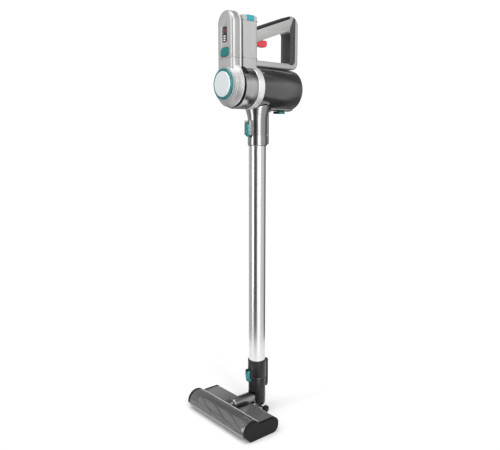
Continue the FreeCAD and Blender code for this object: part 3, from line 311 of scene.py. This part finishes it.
def moulded(name, colour, rough, grain=0.35 * MM, depth=0.012 * MM, uneven=0.06, **settings):
    finish = Finish(name, colour, Roughness=rough, **settings)
    fine = finish.noise(grain)
    slow = finish.noise(18 * MM, detail=3)
    finish.feed("Base Color", finish.mix(slow, tint(colour, 0.92), tint(colour, 1.08)))
    finish.feed("Roughness", rough + (slow - 0.5) * uneven + (fine - 0.5) * uneven)
    finish.bump(fine, depth)
    return finish.material


print("plastics ready")

# %% [markdown]
# ## Metals
# A drawn aluminium tube carries fine streaks along its length: the noise is
# squeezed in X and Y and stretched in Z. A turned part's streaks run around it,
# and a plated one is nearly a mirror.

# %% Metals
def streaked(name, colour, rough, stretch, uneven=0.08, depth=0.0012 * MM, **settings):
    finish = Finish(name, colour, Metallic=1.0, **settings)
    streak = finish.noise(1.0 * MM, detail=3, stretch=stretch)
    finish.feed("Base Color", finish.mix(streak, tint(colour, 0.9), tint(colour, 1.06)))
    finish.feed("Roughness", rough + (streak - 0.5) * uneven)
    finish.bump(streak, depth)
    return finish.material


def lacquered(name, colour, rough, metallic=0.6, **settings):
    """Lacquer with metal flakes under a clear coat."""
    finish = Finish(name, colour, Metallic=metallic, Coat_Roughness=0.12, **settings)
    flake = finish.noise(0.25 * MM, detail=1)
    slow = finish.noise(25 * MM, detail=2)
    finish.feed("Base Color", finish.mix(flake, tint(colour, 0.88), tint(colour, 1.12)))
    finish.feed("Roughness", rough + (flake - 0.5) * 0.1 + (slow - 0.5) * 0.05)
    finish.bump(flake, 0.0012 * MM)
    return finish.material


# %% [markdown]
# ## Smoked clear plastic
# The dust cup and the brush window are tinted clear mouldings. Alpha lets the
# inside show through, and a full clear coat keeps the reflections strong.

# %% Clear plastics
def smoked(name, colour, alpha):
    rough = 0.06
    finish = Finish(name, colour, Roughness=rough, Coat_Weight=1.0, Coat_Roughness=0.03,
                    Coat_IOR=1.9)
    slow = finish.noise(22 * MM, detail=2)
    finish.feed("Alpha", alpha + (slow - 0.5) * 0.06)
    finish.feed("Roughness", rough + slow * 0.05)
    return finish.material


# %% [markdown]
# ## Soft and woven finishes
# Bristles and filter paper scatter light with no gloss. They use coarse noise
# in colour and bump.

# %% Soft finishes
def fibrous(name, colour, grain, depth):
    finish = Finish(name, colour, Roughness=0.85)
    hair = finish.noise(grain, detail=4)
    finish.feed("Base Color", finish.mix(hair, tint(colour, 0.6), tint(colour, 1.35)))
    finish.bump(hair, depth)
    return finish.material


# %% Mix every finish once
PAINT = {
    "silver_plastic": lacquered("satin_silver", (0.50, 0.496, 0.492), 0.44, metallic=0.7,
                                Coat_Weight=0.12),
    "pale_plastic": moulded("pale_grey", (0.44, 0.44, 0.44), 0.36, depth=0.004 * MM, Coat_Weight=0.2),
    "white_trim": lacquered("bright_trim", (0.86, 0.86, 0.86), 0.20, metallic=0.45, Coat_Weight=0.6),
    "teal_plastic": lacquered("teal", (0.008, 0.20, 0.21), 0.28, metallic=0.35, Coat_Weight=0.6),
    "cyan_plastic": lacquered("cyan", (0.03, 0.36, 0.44), 0.30, metallic=0.2, Coat_Weight=0.5),
    "red_plastic": lacquered("signal_red", (0.80, 0.035, 0.06), 0.28, metallic=0.0, Coat_Weight=0.6),
    "pearl_plastic": lacquered("pearl", (0.74, 0.79, 0.81), 0.30, metallic=0.35, Coat_Weight=0.5),
    "black_plastic": moulded("black_grain", (0.009, 0.009, 0.010), 0.46, depth=0.02 * MM,
                             Specular_IOR_Level=0.16),
    "charcoal_plastic": moulded("charcoal", (0.013, 0.013, 0.014), 0.28, depth=0.006 * MM,
                                Specular_IOR_Level=0.3),
    "grey_metallic": streaked("dark_metallic", (0.56, 0.56, 0.56), 0.20, (1, 0.02, 1), uneven=0.06),
    "deck_grey": lacquered("deck_grey", (0.13, 0.13, 0.13), 0.20, metallic=0.3, Coat_Weight=0.8),
    "liner_grey": lacquered("liner_grey", (0.045, 0.045, 0.045), 0.24, metallic=0.3, Coat_Weight=0.4),
    "chromed_plastic": streaked("silver_gloss", (0.37, 0.37, 0.37), 0.22, (1, 1, 0.05), uneven=0.05),
    "smoke_clear": smoked("smoke", (0.028, 0.028, 0.029), 0.88),
    "window_clear": smoked("window_smoke", (0.12, 0.12, 0.12), 0.42),
    "barrel_grey": streaked("barrel_grey", (0.30, 0.30, 0.30), 0.30, (1, 0.05, 1), uneven=0.06),
    "display_black": moulded("display_black", (0.012, 0.006, 0.008), 0.08, depth=0.0005 * MM,
                             Coat_Weight=1.0),
    "aluminium": streaked("drawn_aluminium", (0.76, 0.76, 0.765), 0.22, (1, 1, 0.01)),
    "cell_wrap": moulded("cell_wrap", (0.06, 0.30, 0.16), 0.35),
    "motor_metal": streaked("motor_can", (0.42, 0.42, 0.43), 0.30, (0.05, 1, 1)),
    "steel": streaked("steel", (0.52, 0.52, 0.53), 0.28, (1, 1, 1)),
    "rubber": moulded("rubber", (0.018, 0.018, 0.018), 0.72, grain=0.5 * MM, depth=0.02 * MM),
    "bristle": fibrous("bristle", (0.05, 0.05, 0.055), 0.4 * MM, 0.1 * MM),
    "filter_paper": fibrous("filter_paper", (0.80, 0.79, 0.74), 0.8 * MM, 0.05 * MM),
    "circuit_board": moulded("board", (0.01, 0.14, 0.05), 0.4, grain=1.2 * MM),
    "wire": moulded("wire", (0.03, 0.03, 0.03), 0.45),
}
floor_finish = Finish("paper", (0.83, 0.83, 0.83), Roughness=1.0, Specular_IOR_Level=0.0)
floor_finish.bump(floor_finish.noise(1.5 * MM), 0.02 * MM)
floor.data.materials.append(floor_finish.material)
print(len(PAINT), "finishes")

# %% [markdown]
# ## Refining a part from the frame
# A part's shape in the frame is right but its edges are knife sharp, and it is
# stored as loose triangles. A copy is welded, its flat areas are joined again,
# and every sharp edge gets a small round, because real mouldings catch a thin
# line of light there. The copy then stands for the part.

# %% Helpers that finish and file a piece
CREASE, FLAT = math.radians(28), math.radians(0.6)
EDGE_ROUND, WELD = 0.35 * MM, 0.005 * MM


def file_piece(name, mesh, material, body, stands_for=()):
    """Smooth the gentle edges, dress the mesh, and let it ride on its body."""
    for face in mesh.polygons:
        face.use_smooth = True
    mesh.set_sharp_from_angle(angle=CREASE)
    piece = bpy.data.objects.new(name, mesh)
    bpy.context.scene.collection.objects.link(piece)
    mesh.materials.clear()
    mesh.materials.append(material)
    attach(piece, body)
    if stands_for:
        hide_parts(*stands_for)
    return piece


def refined(node, finish):
    """A copy of a frame part with its sharp edges rounded."""
    bm = bmesh.new()
    bm.from_mesh(NODES[node].data)
    bmesh.ops.remove_doubles(bm, verts=bm.verts, dist=WELD)
    bmesh.ops.dissolve_limit(bm, angle_limit=FLAT, verts=bm.verts, edges=bm.edges, delimit={"NORMAL"})
    sharp = [e for e in bm.edges if e.is_manifold and e.calc_face_angle(0) > CREASE]
    if sharp:
        bmesh.ops.bevel(bm, geom=sharp, offset=EDGE_ROUND, affect="EDGES", segments=2,
                        profile=0.5, material=-1, clamp_overlap=False, loop_slide=True)
    mesh = bpy.data.meshes.new(node + "_shell")
    bm.to_mesh(mesh)
    bm.free()
    for layer in ("custom_normal", "sharp_face", "sharp_edge"):
        if layer in mesh.attributes:
            mesh.attributes.remove(mesh.attributes[layer])
    file_piece(node + "_shell", mesh, PAINT[finish], BODY_OF[node], [node])


# %% Dress the parts of the frame
for node, part in NODES.items():
    part.data.materials.clear()
    part.data.materials.append(PAINT[SLOT_OF[node]])
REFINED = ["head_cover", "head_base", "brush_window", "front_lip", "end_cap_left", "end_cap_right",
           "swivel_barrel", "floor_neck", "wand_sleeve", "wand_collar", "inlet_neck",
           "cup_rail", "motor_housing", "groove_ring", "display_cover", "filter_housing",
           "pod_trim", "display_window", "battery_dock", "handle_frame", "grip_strip",
           "handle_liner", "dust_cup", "cup_lid", "battery_case", "battery_button_left",
           "battery_button_right", "trigger", "brush_roller"]
OWN_FINISH = {"brush_window": "window_clear", "handle_liner": "liner_grey",
              "cup_rail": "chromed_plastic", "brush_roller": "pale_plastic",
              "swivel_barrel": "barrel_grey"}
for node in REFINED:
    refined(node, OWN_FINISH.get(node, SLOT_OF[node]))
print(len(REFINED), "parts refined")

# %% [markdown]
# ## Turned, extruded and plain forms
# Most moulded parts of such a machine are one of three things: an outline spun
# about an axis, an outline pushed along an axis, or a block. Each helper starts
# from a few vertices and lets bmesh operators do the shaping.

# %% Form helpers
WAYS = {"X": Vector((1, 0, 0)), "Y": Vector((0, 1, 0)), "Z": Vector((0, 0, 1))}


def arc(u, v, radius, start, end, steps=8):
    """Points on a round corner about (u, v), from start to end in degrees."""
    turns = [math.radians(start + (end - start) * step / steps) for step in range(steps + 1)]
    return [(u + radius * math.cos(turn), v + radius * math.sin(turn)) for turn in turns]


def grow_vertices(made):
    return [part for part in made if isinstance(part, bmesh.types.BMVert)]


def turned(outline, centre, axis="Y", steps=160, sweep=360.0, start=0.0):
    """Spin a closed outline of (radius, place along the axis) points."""
    bm = bmesh.new()
    out = WAYS["Z"] if axis == "X" else WAYS["X"]
    way = WAYS[axis]
    points = [bm.verts.new(out * radius + way * along) for radius, along in outline]
    edges = [bm.edges.new(pair) for pair in zip(points, points[1:] + points[:1])]
    whole = sweep == 360.0
    bmesh.ops.spin(bm, geom=points + edges, cent=(0, 0, 0), axis=way, angle=math.radians(sweep),
                   steps=steps, use_merge=whole)
    if not whole:
        bmesh.ops.holes_fill(bm, edges=[e for e in bm.edges if e.is_boundary], sides=0)
    bmesh.ops.remove_doubles(bm, verts=bm.verts, dist=0.002 * MM)
    bmesh.ops.recalc_face_normals(bm, faces=bm.faces)
    bmesh.ops.rotate(bm, verts=bm.verts, matrix=Matrix.Rotation(math.radians(start), 3, axis))
    bmesh.ops.translate(bm, verts=bm.verts, vec=centre - way * centre.dot(way))
    return bm


def round_edges(bm, width, segments=3):
    sharp = [e for e in bm.edges if e.is_manifold and e.calc_face_angle(0) > CREASE]
    bmesh.ops.bevel(bm, geom=sharp, offset=width, affect="EDGES", segments=segments,
                    profile=0.5, material=-1, clamp_overlap=True)


def pushed(outline, axis, start, end, width=0.0, segments=3):
    """Push a closed outline along an axis; it lies in the other two, in X, Y, Z order."""
    bm = bmesh.new()
    way = WAYS[axis]
    first, second = [WAYS[name] for name in "XYZ" if name != axis]
    face = bm.faces.new([bm.verts.new(first * u + second * v + way * start) for u, v in outline])
    made = bmesh.ops.extrude_face_region(bm, geom=[face])["geom"]
    bmesh.ops.translate(bm, verts=grow_vertices(made), vec=way * (end - start))
    bmesh.ops.recalc_face_normals(bm, faces=bm.faces)
    if width:
        round_edges(bm, width, segments)
    return bm


def block(low, high, width=0.0, segments=3):
    low, high = Vector(low), Vector(high)
    bm = bmesh.new()
    made = bmesh.ops.create_cube(bm, size=1)["verts"]
    bmesh.ops.scale(bm, verts=made, vec=high - low)
    bmesh.ops.translate(bm, verts=made, vec=(low + high) / 2)
    if width:
        round_edges(bm, width, segments)
    return bm


def together(forms):
    """Several forms as one mesh."""
    whole = bmesh.new()
    for bm in forms:
        mesh = bpy.data.meshes.new("part")
        bm.to_mesh(mesh)
        bm.free()
        whole.from_mesh(mesh)
        bpy.data.meshes.remove(mesh)
    return whole


def made_piece(name, bm, finish, node, stands_for=()):
    """File a form as a piece on the body of a frame part."""
    mesh = bpy.data.meshes.new(name)
    bm.to_mesh(mesh)
    bm.free()
    piece = file_piece(name, mesh, PAINT[finish], BODY_OF[node], stands_for)
    print(name, len(mesh.polygons), "faces")
    return piece


def middle(node):
    low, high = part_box(node)
    return low, high, (low + high) / 2


# %% [markdown]
# ## Filter cap
# The round cap on the pod is a teal twist ring with a pearl disc in it. The disc
# is slightly domed and sits in a dark gap. Both are spun from outlines with
# round corners.

# %% Filter ring and disc
low, high, hub = middle("filter_ring")
disc_low, disc_high, disc_hub = middle("filter_disc")
RING_R = (high.x - low.x) / 2
DISC_R = (disc_high.x - disc_low.x) / 2
RING_GAP, INNER_ROUND, OUTER_ROUND, CAP_STEPS = 0.7 * MM, 1.0 * MM, 2.2 * MM, 180
inner = DISC_R + RING_GAP
ring_outline = [(inner, high.y), (inner, low.y + 1.2 * MM)]
ring_outline += arc(inner + INNER_ROUND, low.y + INNER_ROUND, INNER_ROUND, 180, 270, 6)
ring_outline += arc(RING_R - OUTER_ROUND, low.y + OUTER_ROUND, OUTER_ROUND, -90, 0, 10)
ring_outline += [(RING_R, high.y)]
made_piece("filter_cap_ring", turned(ring_outline, hub, steps=CAP_STEPS), "teal_plastic",
           "filter_ring", ["filter_ring"])
DOME, DISC_ROUND = 0.6 * MM, 1.6 * MM
disc_outline = [(DISC_R * f, disc_low.y + DOME * f * f) for f in (0.0, 0.2, 0.4, 0.6, 0.75, 0.86)]
disc_outline += arc(DISC_R - DISC_ROUND, disc_low.y + DOME + DISC_ROUND, DISC_ROUND, -80, 0, 8)
disc_outline += [(DISC_R, disc_high.y), (0.0, disc_high.y)]
made_piece("filter_cap_disc", turned(disc_outline, disc_hub, steps=CAP_STEPS), "pearl_plastic",
           "filter_disc", ["filter_disc"])

# %% [markdown]
# ## Bands on the pod's round foot
# Under the cap the foot widens in a cone with a few fine raised bands. They
# run round the lower part only and stop at the upright pod.

# %% Foot bands
foot_low, foot_high, _ = middle("filter_housing")
FOOT_R, FOOT_FRONT_R = foot_high.x, RING_R + 2.3 * MM
CONE_DEPTH, BAND_R, BAND_SWEEP = 16.0 * MM, 0.8 * MM, 252
BAND_SHARES = (0.24, 0.42, 0.60, 0.78)
bands = []
for share in BAND_SHARES:
    radius = FOOT_FRONT_R + (FOOT_R - FOOT_FRONT_R) * share
    along = foot_low.y + CONE_DEPTH * share
    bands.append(turned(arc(radius, along, BAND_R, 0, 315, 7), hub, steps=110, sweep=BAND_SWEEP,
                        start=-36))
made_piece("foot_bands", together(bands), "silver_plastic", "filter_housing")

# %% [markdown]
# ## Display
# A dark window with a lit battery gauge: three white bars, and two dim plain
# seven-segment digits above them. The marks are thin raised blocks.

# %% Display marks
SEGMENTS = {"8": "abcdefg", "6": "acdefg"}
GLOWS = [("white_glow", (0.9, 0.92, 0.95), 0.5), ("red_glow", (0.35, 0.14, 0.13), 0.25)]
MARK_BACK, MARK_FRONT = 0.1 * MM, 0.08 * MM
for name, colour, strength in GLOWS:
    lit = Finish(name, tuple(0.5 * c for c in colour), Roughness=0.4, Emission_Strength=strength)
    pulse = lit.noise(0.6 * MM)
    lit.feed("Emission Color", lit.mix(pulse, tint(colour, 0.8), tint(colour, 1.1)))
    PAINT[name] = lit.material


def digit(sign, left, base, wide, tall, y):
    """One seven-segment digit as thin blocks."""
    thick = wide * 0.22
    half = tall / 2
    spots = {"a": (0, tall - thick, wide, thick), "g": (0, half - thick / 2, wide, thick),
             "d": (0, 0, wide, thick), "f": (0, half, thick, half), "e": (0, 0, thick, half),
             "b": (wide - thick, half, thick, half), "c": (wide - thick, 0, thick, half)}
    forms = []
    for letter in SEGMENTS[sign]:
        x, z, w, h = spots[letter]
        forms.append(block((left + x, y - MARK_FRONT, base + z),
                           (left + x + w, y + MARK_BACK, base + z + h)))
    return forms


low, high, mid = middle("display_window")
DIGIT_W, DIGIT_H, DIGIT_DROP = 4.6 * MM, 8.0 * MM, 12.5 * MM
marks = digit("8", mid.x - 5.6 * MM, high.z - DIGIT_DROP, DIGIT_W, DIGIT_H, low.y)
marks += digit("6", mid.x + 1.0 * MM, high.z - DIGIT_DROP, DIGIT_W, DIGIT_H, low.y)
made_piece("display_digits", together(marks), "red_glow", "display_window")
BAR_HALF, BAR_H, BAR_PITCH, BAR_FOOT = 3.6 * MM, 2.0 * MM, 4.4 * MM, 3.2 * MM
bars = []
for row in range(3):
    base = low.z + BAR_FOOT + BAR_PITCH * row
    bars.append(block((mid.x - BAR_HALF, low.y - MARK_FRONT, base),
                      (mid.x + BAR_HALF, low.y + MARK_BACK, base + BAR_H)))
made_piece("display_bars", together(bars), "white_glow", "display_window")

# %% [markdown]
# ## Power button
# Its outline is a leaf: two opposite corners are much rounder than the others.
# A slightly larger dark leaf under it draws the shadow gap around it.

# %% Power button
def leaf(low, high, grow, small, large):
    """Outline in X and Z with round corners, starting at the lower left."""
    x0, x1, z0, z1 = low.x - grow, high.x + grow, low.z - grow, high.z + grow
    return (arc(x0 + small, z0 + small, small, 180, 270)
            + arc(x1 - large, z0 + large, large, 270, 360)
            + arc(x1 - small, z1 - small, small, 0, 90)
            + arc(x0 + large, z1 - large, large, 90, 180))


low, high, mid = middle("power_button")
face_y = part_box("display_cover")[0].y
SMALL_CORNER, LARGE_CORNER, WELL_GAP = 5 * MM, 9 * MM, 1.0 * MM
cap = leaf(low, high, 0, SMALL_CORNER, LARGE_CORNER)
made_piece("power_button_cap", pushed(cap, "Y", low.y, face_y + 1.5 * MM, width=0.9 * MM, segments=4),
           "teal_plastic", "power_button", ["power_button"])
well = leaf(low, high, WELL_GAP, SMALL_CORNER + WELL_GAP, LARGE_CORNER + WELL_GAP)
made_piece("power_button_well", pushed(well, "Y", face_y - 0.12 * MM, face_y + 0.6 * MM, width=0.1 * MM),
           "black_plastic", "display_cover")

# %% [markdown]
# ## Release buttons
# The thumb buttons in front of the wand are plump pads with no sharp edge. A
# ball is pushed towards a box by a power of its coordinates, then cut in half.

# %% Thumb buttons
THUMB_POWERS = (0.60, 0.85, 0.62)
THUMB_TAPER = 0.22


def thumb_pad(low, high):
    """Half of a plump ellipsoid with a flat back, slimmer towards its top."""
    bm = bmesh.new()
    bmesh.ops.create_uvsphere(bm, u_segments=48, v_segments=32, radius=1)
    half = Vector(((high.x - low.x) / 2, high.y - low.y, (high.z - low.z) / 2))
    centre = Vector(((low.x + high.x) / 2, high.y, (low.z + high.z) / 2))
    for vertex in bm.verts:
        x, y, z = (math.copysign(abs(c) ** power, c) for c, power in zip(vertex.co, THUMB_POWERS))
        deep = y * (1 - THUMB_TAPER * (z + 1) / 2)
        vertex.co = centre + Vector((x * half.x, deep * half.y, z * half.z))
    bmesh.ops.bisect_plane(bm, geom=[*bm.verts, *bm.edges, *bm.faces], plane_co=centre,
                           plane_no=(0, 1, 0), clear_outer=True)
    bmesh.ops.holes_fill(bm, edges=[e for e in bm.edges if e.is_boundary], sides=0)
    bmesh.ops.recalc_face_normals(bm, faces=bm.faces)
    return bm


for node in ("lower_button", "upper_button"):
    low, high, _ = middle(node)
    made_piece(node + "_pad", thumb_pad(low, high), "teal_plastic", node, [node])

# %% [markdown]
# ## A thin light ring at the wand's foot, where it plugs into the neck, paints the seam's highlight.
# A fine light line runs round the wand's foot where it plugs into the neck.

# %% Neck seam
neck_low, neck_high, _ = middle("floor_neck")
NECK_R, SEAM_H = (neck_high.y - neck_low.y) / 2, 0.5 * MM
seam_in, seam_out = NECK_R - 1 * MM, NECK_R + 0.15 * MM
seam_low, seam_high = neck_high.z - SEAM_H, neck_high.z
seam = [(seam_in, seam_low), (seam_out, seam_low), (seam_out, seam_high), (seam_in, seam_high)]
# The light chromed ring is a painted highlight along the neck seam.
made_piece("neck_seam", turned(seam, Vector((WAND.x, WAND.y, 0)), axis="Z", steps=96),
           "chromed_plastic", "floor_neck")

# %% [markdown]
# ## Cup latch
# A pill under the cup: its front third is the black guide and the rest is the
# teal slide. One pill outline is pushed up and cut in two by a plane. Both parts
# ride on the latch, and a narrow tongue joins the slide to it.

# %% Latch halves
low, high, mid = middle("cup_latch")
PILL_R = (high.x - low.x) / 2
pill = arc(mid.x, low.y + PILL_R, PILL_R, 180, 360, 18)
pill += arc(mid.x, high.y - PILL_R, PILL_R, 0, 180, 18)
SPLIT, PAD_H, PAD_ROUND, TONGUE_X = 0.4 * MM, 5.2 * MM, 1.1 * MM, 5.0 * MM
GUIDE_SHARE = 0.3
split_y = low.y + GUIDE_SHARE * (high.y - low.y)
for name, finish, side in (("latch_guide", "black_plastic", -1), ("latch_slide", "teal_plastic", 1)):
    bm = pushed(pill, "Z", low.z, low.z + PAD_H, width=PAD_ROUND)
    plane = Vector((mid.x, split_y + side * SPLIT / 2, mid.z))
    bmesh.ops.bisect_plane(bm, geom=[*bm.verts, *bm.edges, *bm.faces], plane_co=plane,
                           plane_no=(0, -side, 0), clear_outer=True)
    bmesh.ops.holes_fill(bm, edges=[e for e in bm.edges if e.is_boundary], sides=0)
    bmesh.ops.recalc_face_normals(bm, faces=bm.faces)
    if side > 0:
        tongue = block((-TONGUE_X, mid.y + 2 * MM, low.z + PAD_H - 1 * MM),
                       (TONGUE_X, high.y - 3 * MM, high.z))
        bm = together([bm, tongue])
    made_piece(name, bm, finish, "cup_latch", ["cup_latch"] if side > 0 else ())

# %% [markdown]
# ## Trigger spring
# The small coil behind the trigger. On the real machine it gets shorter as the
# trigger is pulled while its upper end stays against the grip; here it is one fixed coil that rides on
# the spring's body.

# %% Trigger spring
low, high, mid = middle("trigger_spring")
WIRE_R, COILS, COIL_STEPS, SPRING_KEEP = 0.35 * MM, 5, 20, 0.45
steps = COILS * COIL_STEPS
spring_r = (high.x - low.x) / 2 - WIRE_R
ring = [(mid.x + spring_r + WIRE_R * math.cos(t), low.z + WIRE_R * (1.4 + math.sin(t)))
        for t in (math.tau * i / 8 for i in range(8))]
coil = bmesh.new()
profile = coil.faces.new([coil.verts.new((x, mid.y, z)) for x, z in ring])
climb = (high.z - low.z - 2.8 * WIRE_R) / steps
bmesh.ops.spin(coil, geom=[profile], cent=mid, axis=(0, 0, 1), angle=math.tau * COILS,
               dvec=(0, 0, climb), steps=steps)
bmesh.ops.recalc_face_normals(coil, faces=coil.faces)
spring = made_piece("trigger_coil", coil, "steel", "trigger_spring", ["trigger_spring"])
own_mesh(spring)

# %% [markdown]
# ## Collar ring
# The bright ring between the motor housing and the cup carries one fine groove
# near its front edge, which shows as a dark line.

# %% Collar ring
low, high, mid = middle("collar_ring")
BAND_DEEP, FRONT_ROUND, REAR_ROUND, GROOVE_DEEP = 4 * MM, 0.8 * MM, 3.2 * MM, 1.1 * MM
edge = high.x
collar = [(edge - BAND_DEEP, high.y), (edge - BAND_DEEP, low.y), (edge - 0.9 * MM, low.y)]
collar += arc(edge - FRONT_ROUND, low.y + FRONT_ROUND, FRONT_ROUND, -80, 0, 4)
collar += [(edge, low.y + 2.6 * MM), (edge - GROOVE_DEEP, low.y + 2.9 * MM),
           (edge - GROOVE_DEEP, low.y + 4.1 * MM), (edge, low.y + 4.4 * MM)]
collar += arc(edge - REAR_ROUND, high.y - REAR_ROUND, REAR_ROUND, 0, 84, 8)
made_piece("collar_band", turned(collar, mid, steps=200), "white_trim", "collar_ring", ["collar_ring"])

# %% [markdown]
# ## Brush
# Four rows of nylon tufts wind most of the way around the roller. Each tuft is
# three thin tapered hairs, kept to a few faces because there are hundreds.

# %% Brush tufts
_, _, mid = middle("brush_roller")
bristle_low, bristle_high, _ = middle("brush_bristles")
CORE_R = 10.8 * MM
TIP_R = (bristle_high.z - bristle_low.z) / 2
ROWS, TUFTS, WIND = 4, 52, 0.8
END_GAP, HAIR_GAP, LEAN = 1.5 * MM, 0.8 * MM, 0.09
ROOT_R, HAIR_TIP_R = 0.75 * MM, 0.45 * MM
row_length = bristle_high.x - bristle_low.x - 2 * END_GAP
root = Matrix.Translation((0, 0, (CORE_R + TIP_R) / 2))
tufts = bmesh.new()
for row in range(ROWS):
    for step in range(TUFTS):
        share = step / (TUFTS - 1)
        x = bristle_low.x + END_GAP + row_length * share
        around_roller = Matrix.Rotation(math.tau * (row / ROWS + WIND * share), 4, "X")
        for hair in (-1, 0, 1):
            lean = Matrix.Rotation(LEAN * hair, 4, "Y")
            stand = Matrix.Translation((x + HAIR_GAP * hair, mid.y, mid.z)) @ around_roller
            bmesh.ops.create_cone(tufts, cap_ends=True, segments=5, radius1=ROOT_R,
                                  radius2=HAIR_TIP_R, depth=TIP_R - CORE_R,
                                  matrix=stand @ lean @ root)
made_piece("brush_tufts", tufts, "bristle", "brush_bristles", ["brush_bristles"])

# %% [markdown]
# ## Rear wheels
# Two small black wheels with a grooved tread and a dished hub.

# %% Wheels
AXLE_R, TREAD_DEEP = 2.05 * MM, 0.5 * MM
for node in ("rear_wheel_left", "rear_wheel_right"):
    low, high, mid = middle(node)
    radius = (high.z - low.z) / 2
    outer, inner = (low.x, high.x) if node.endswith("left") else (high.x, low.x)
    step = (inner - outer) / 12
    wheel = [(AXLE_R, outer + 2 * step), (0.45 * radius, outer + 2 * step),
             (0.62 * radius, outer + step), (0.80 * radius, outer), (0.93 * radius, outer),
             (radius, outer + step)]
    for groove in range(3):
        at = outer + step * (2.8 + 2.4 * groove)
        wheel += [(radius, at), (radius - TREAD_DEEP, at + 0.3 * step),
                  (radius - TREAD_DEEP, at + 0.9 * step), (radius, at + 1.2 * step)]
    wheel += [(radius, inner - step), (0.93 * radius, inner), (AXLE_R, inner)]
    made_piece(node.replace("rear_", "") + "_turned", turned(wheel, mid, axis="X", steps=72),
               "black_plastic", node, [node])

# %% [markdown]
# ## Trim on the floor head
# A round strip closes the window's rear edge; its white is a painted highlight
# along that edge. A slim grey sill runs along its foot, and an arched band backs it at each end.

# %% Ridge strip and arches
win_low, win_high, _ = middle("brush_window")
HUMP_Z = 20 * MM
HUMP = Vector((0, win_low.y + (win_high.z - HUMP_Z), HUMP_Z))
HUMP_R = win_high.z - HUMP.z
# The strip is the rounded rear edge; its white finish paints the line of light along it.
STRIP_R = 1.2 * MM
strip_z = HUMP.z + math.sqrt(HUMP_R ** 2 - (win_high.y - HUMP.y) ** 2)
strip_at = Matrix.Translation((0, win_high.y + 0.1 * MM, strip_z))
strip = bmesh.new()
bmesh.ops.create_cone(strip, cap_ends=True, segments=20, radius1=STRIP_R, radius2=STRIP_R,
                      depth=win_high.x - win_low.x - 0.4 * MM,
                      matrix=strip_at @ Matrix.Rotation(math.pi / 2, 4, "Y"))
made_piece("window_ridge", strip, "white_trim", "head_cover")
SILL_FROM, SILL_SWEEP = 91.0, 15.0
sill_in, sill_out = HUMP_R - 0.8 * MM, HUMP_R + 0.45 * MM
sill_left, sill_right = win_low.x + 0.4 * MM, win_high.x - 0.4 * MM
sill_outline = [(sill_out, sill_left), (sill_out, sill_right), (sill_in, sill_right),
                (sill_in, sill_left)]
sill = turned(sill_outline, HUMP, axis="X", steps=12, sweep=SILL_SWEEP, start=SILL_FROM)
made_piece("window_sill", sill, "barrel_grey", "brush_window")
ARCH_FROM, ARCH_SWEEP = -46, 118
arch_in, arch_out = HUMP_R - 3.4 * MM, HUMP_R - 2.6 * MM
arches = []
for side in (-1, 1):
    x0 = side * (win_high.x - 0.3 * MM)
    x1 = side * (win_high.x - 3.6 * MM)
    band = [(arch_out, x0), (arch_out, x1), (arch_in, x1), (arch_in, x0)]
    arches.append(turned(band, HUMP, axis="X", steps=40, sweep=ARCH_SWEEP, start=ARCH_FROM))
made_piece("window_arches", together(arches), "chromed_plastic", "brush_window")

# %% [markdown]
# ## Battery seams
# The battery's case is three mouldings. The joints show as fine dark lines all
# round, made by two thin dark plates that stand a hair proud of the case.

# %% Battery seams
low, high, _ = middle("battery_case")
PROUD, LINE, SEAM_DROP, SEAM_LIFT = 0.04 * MM, 0.35 * MM, 13.0 * MM, 22.0 * MM
seams = []
for z in (high.z - SEAM_DROP, low.z + SEAM_LIFT):
    corner = [(low.x - PROUD, low.y - PROUD), (high.x + PROUD, low.y - PROUD),
              (high.x + PROUD, high.y + PROUD), (low.x - PROUD, high.y + PROUD)]
    seams.append(pushed(corner, "Z", z, z + LINE))
made_piece("battery_seams", together(seams), "charcoal_plastic", "battery_case")
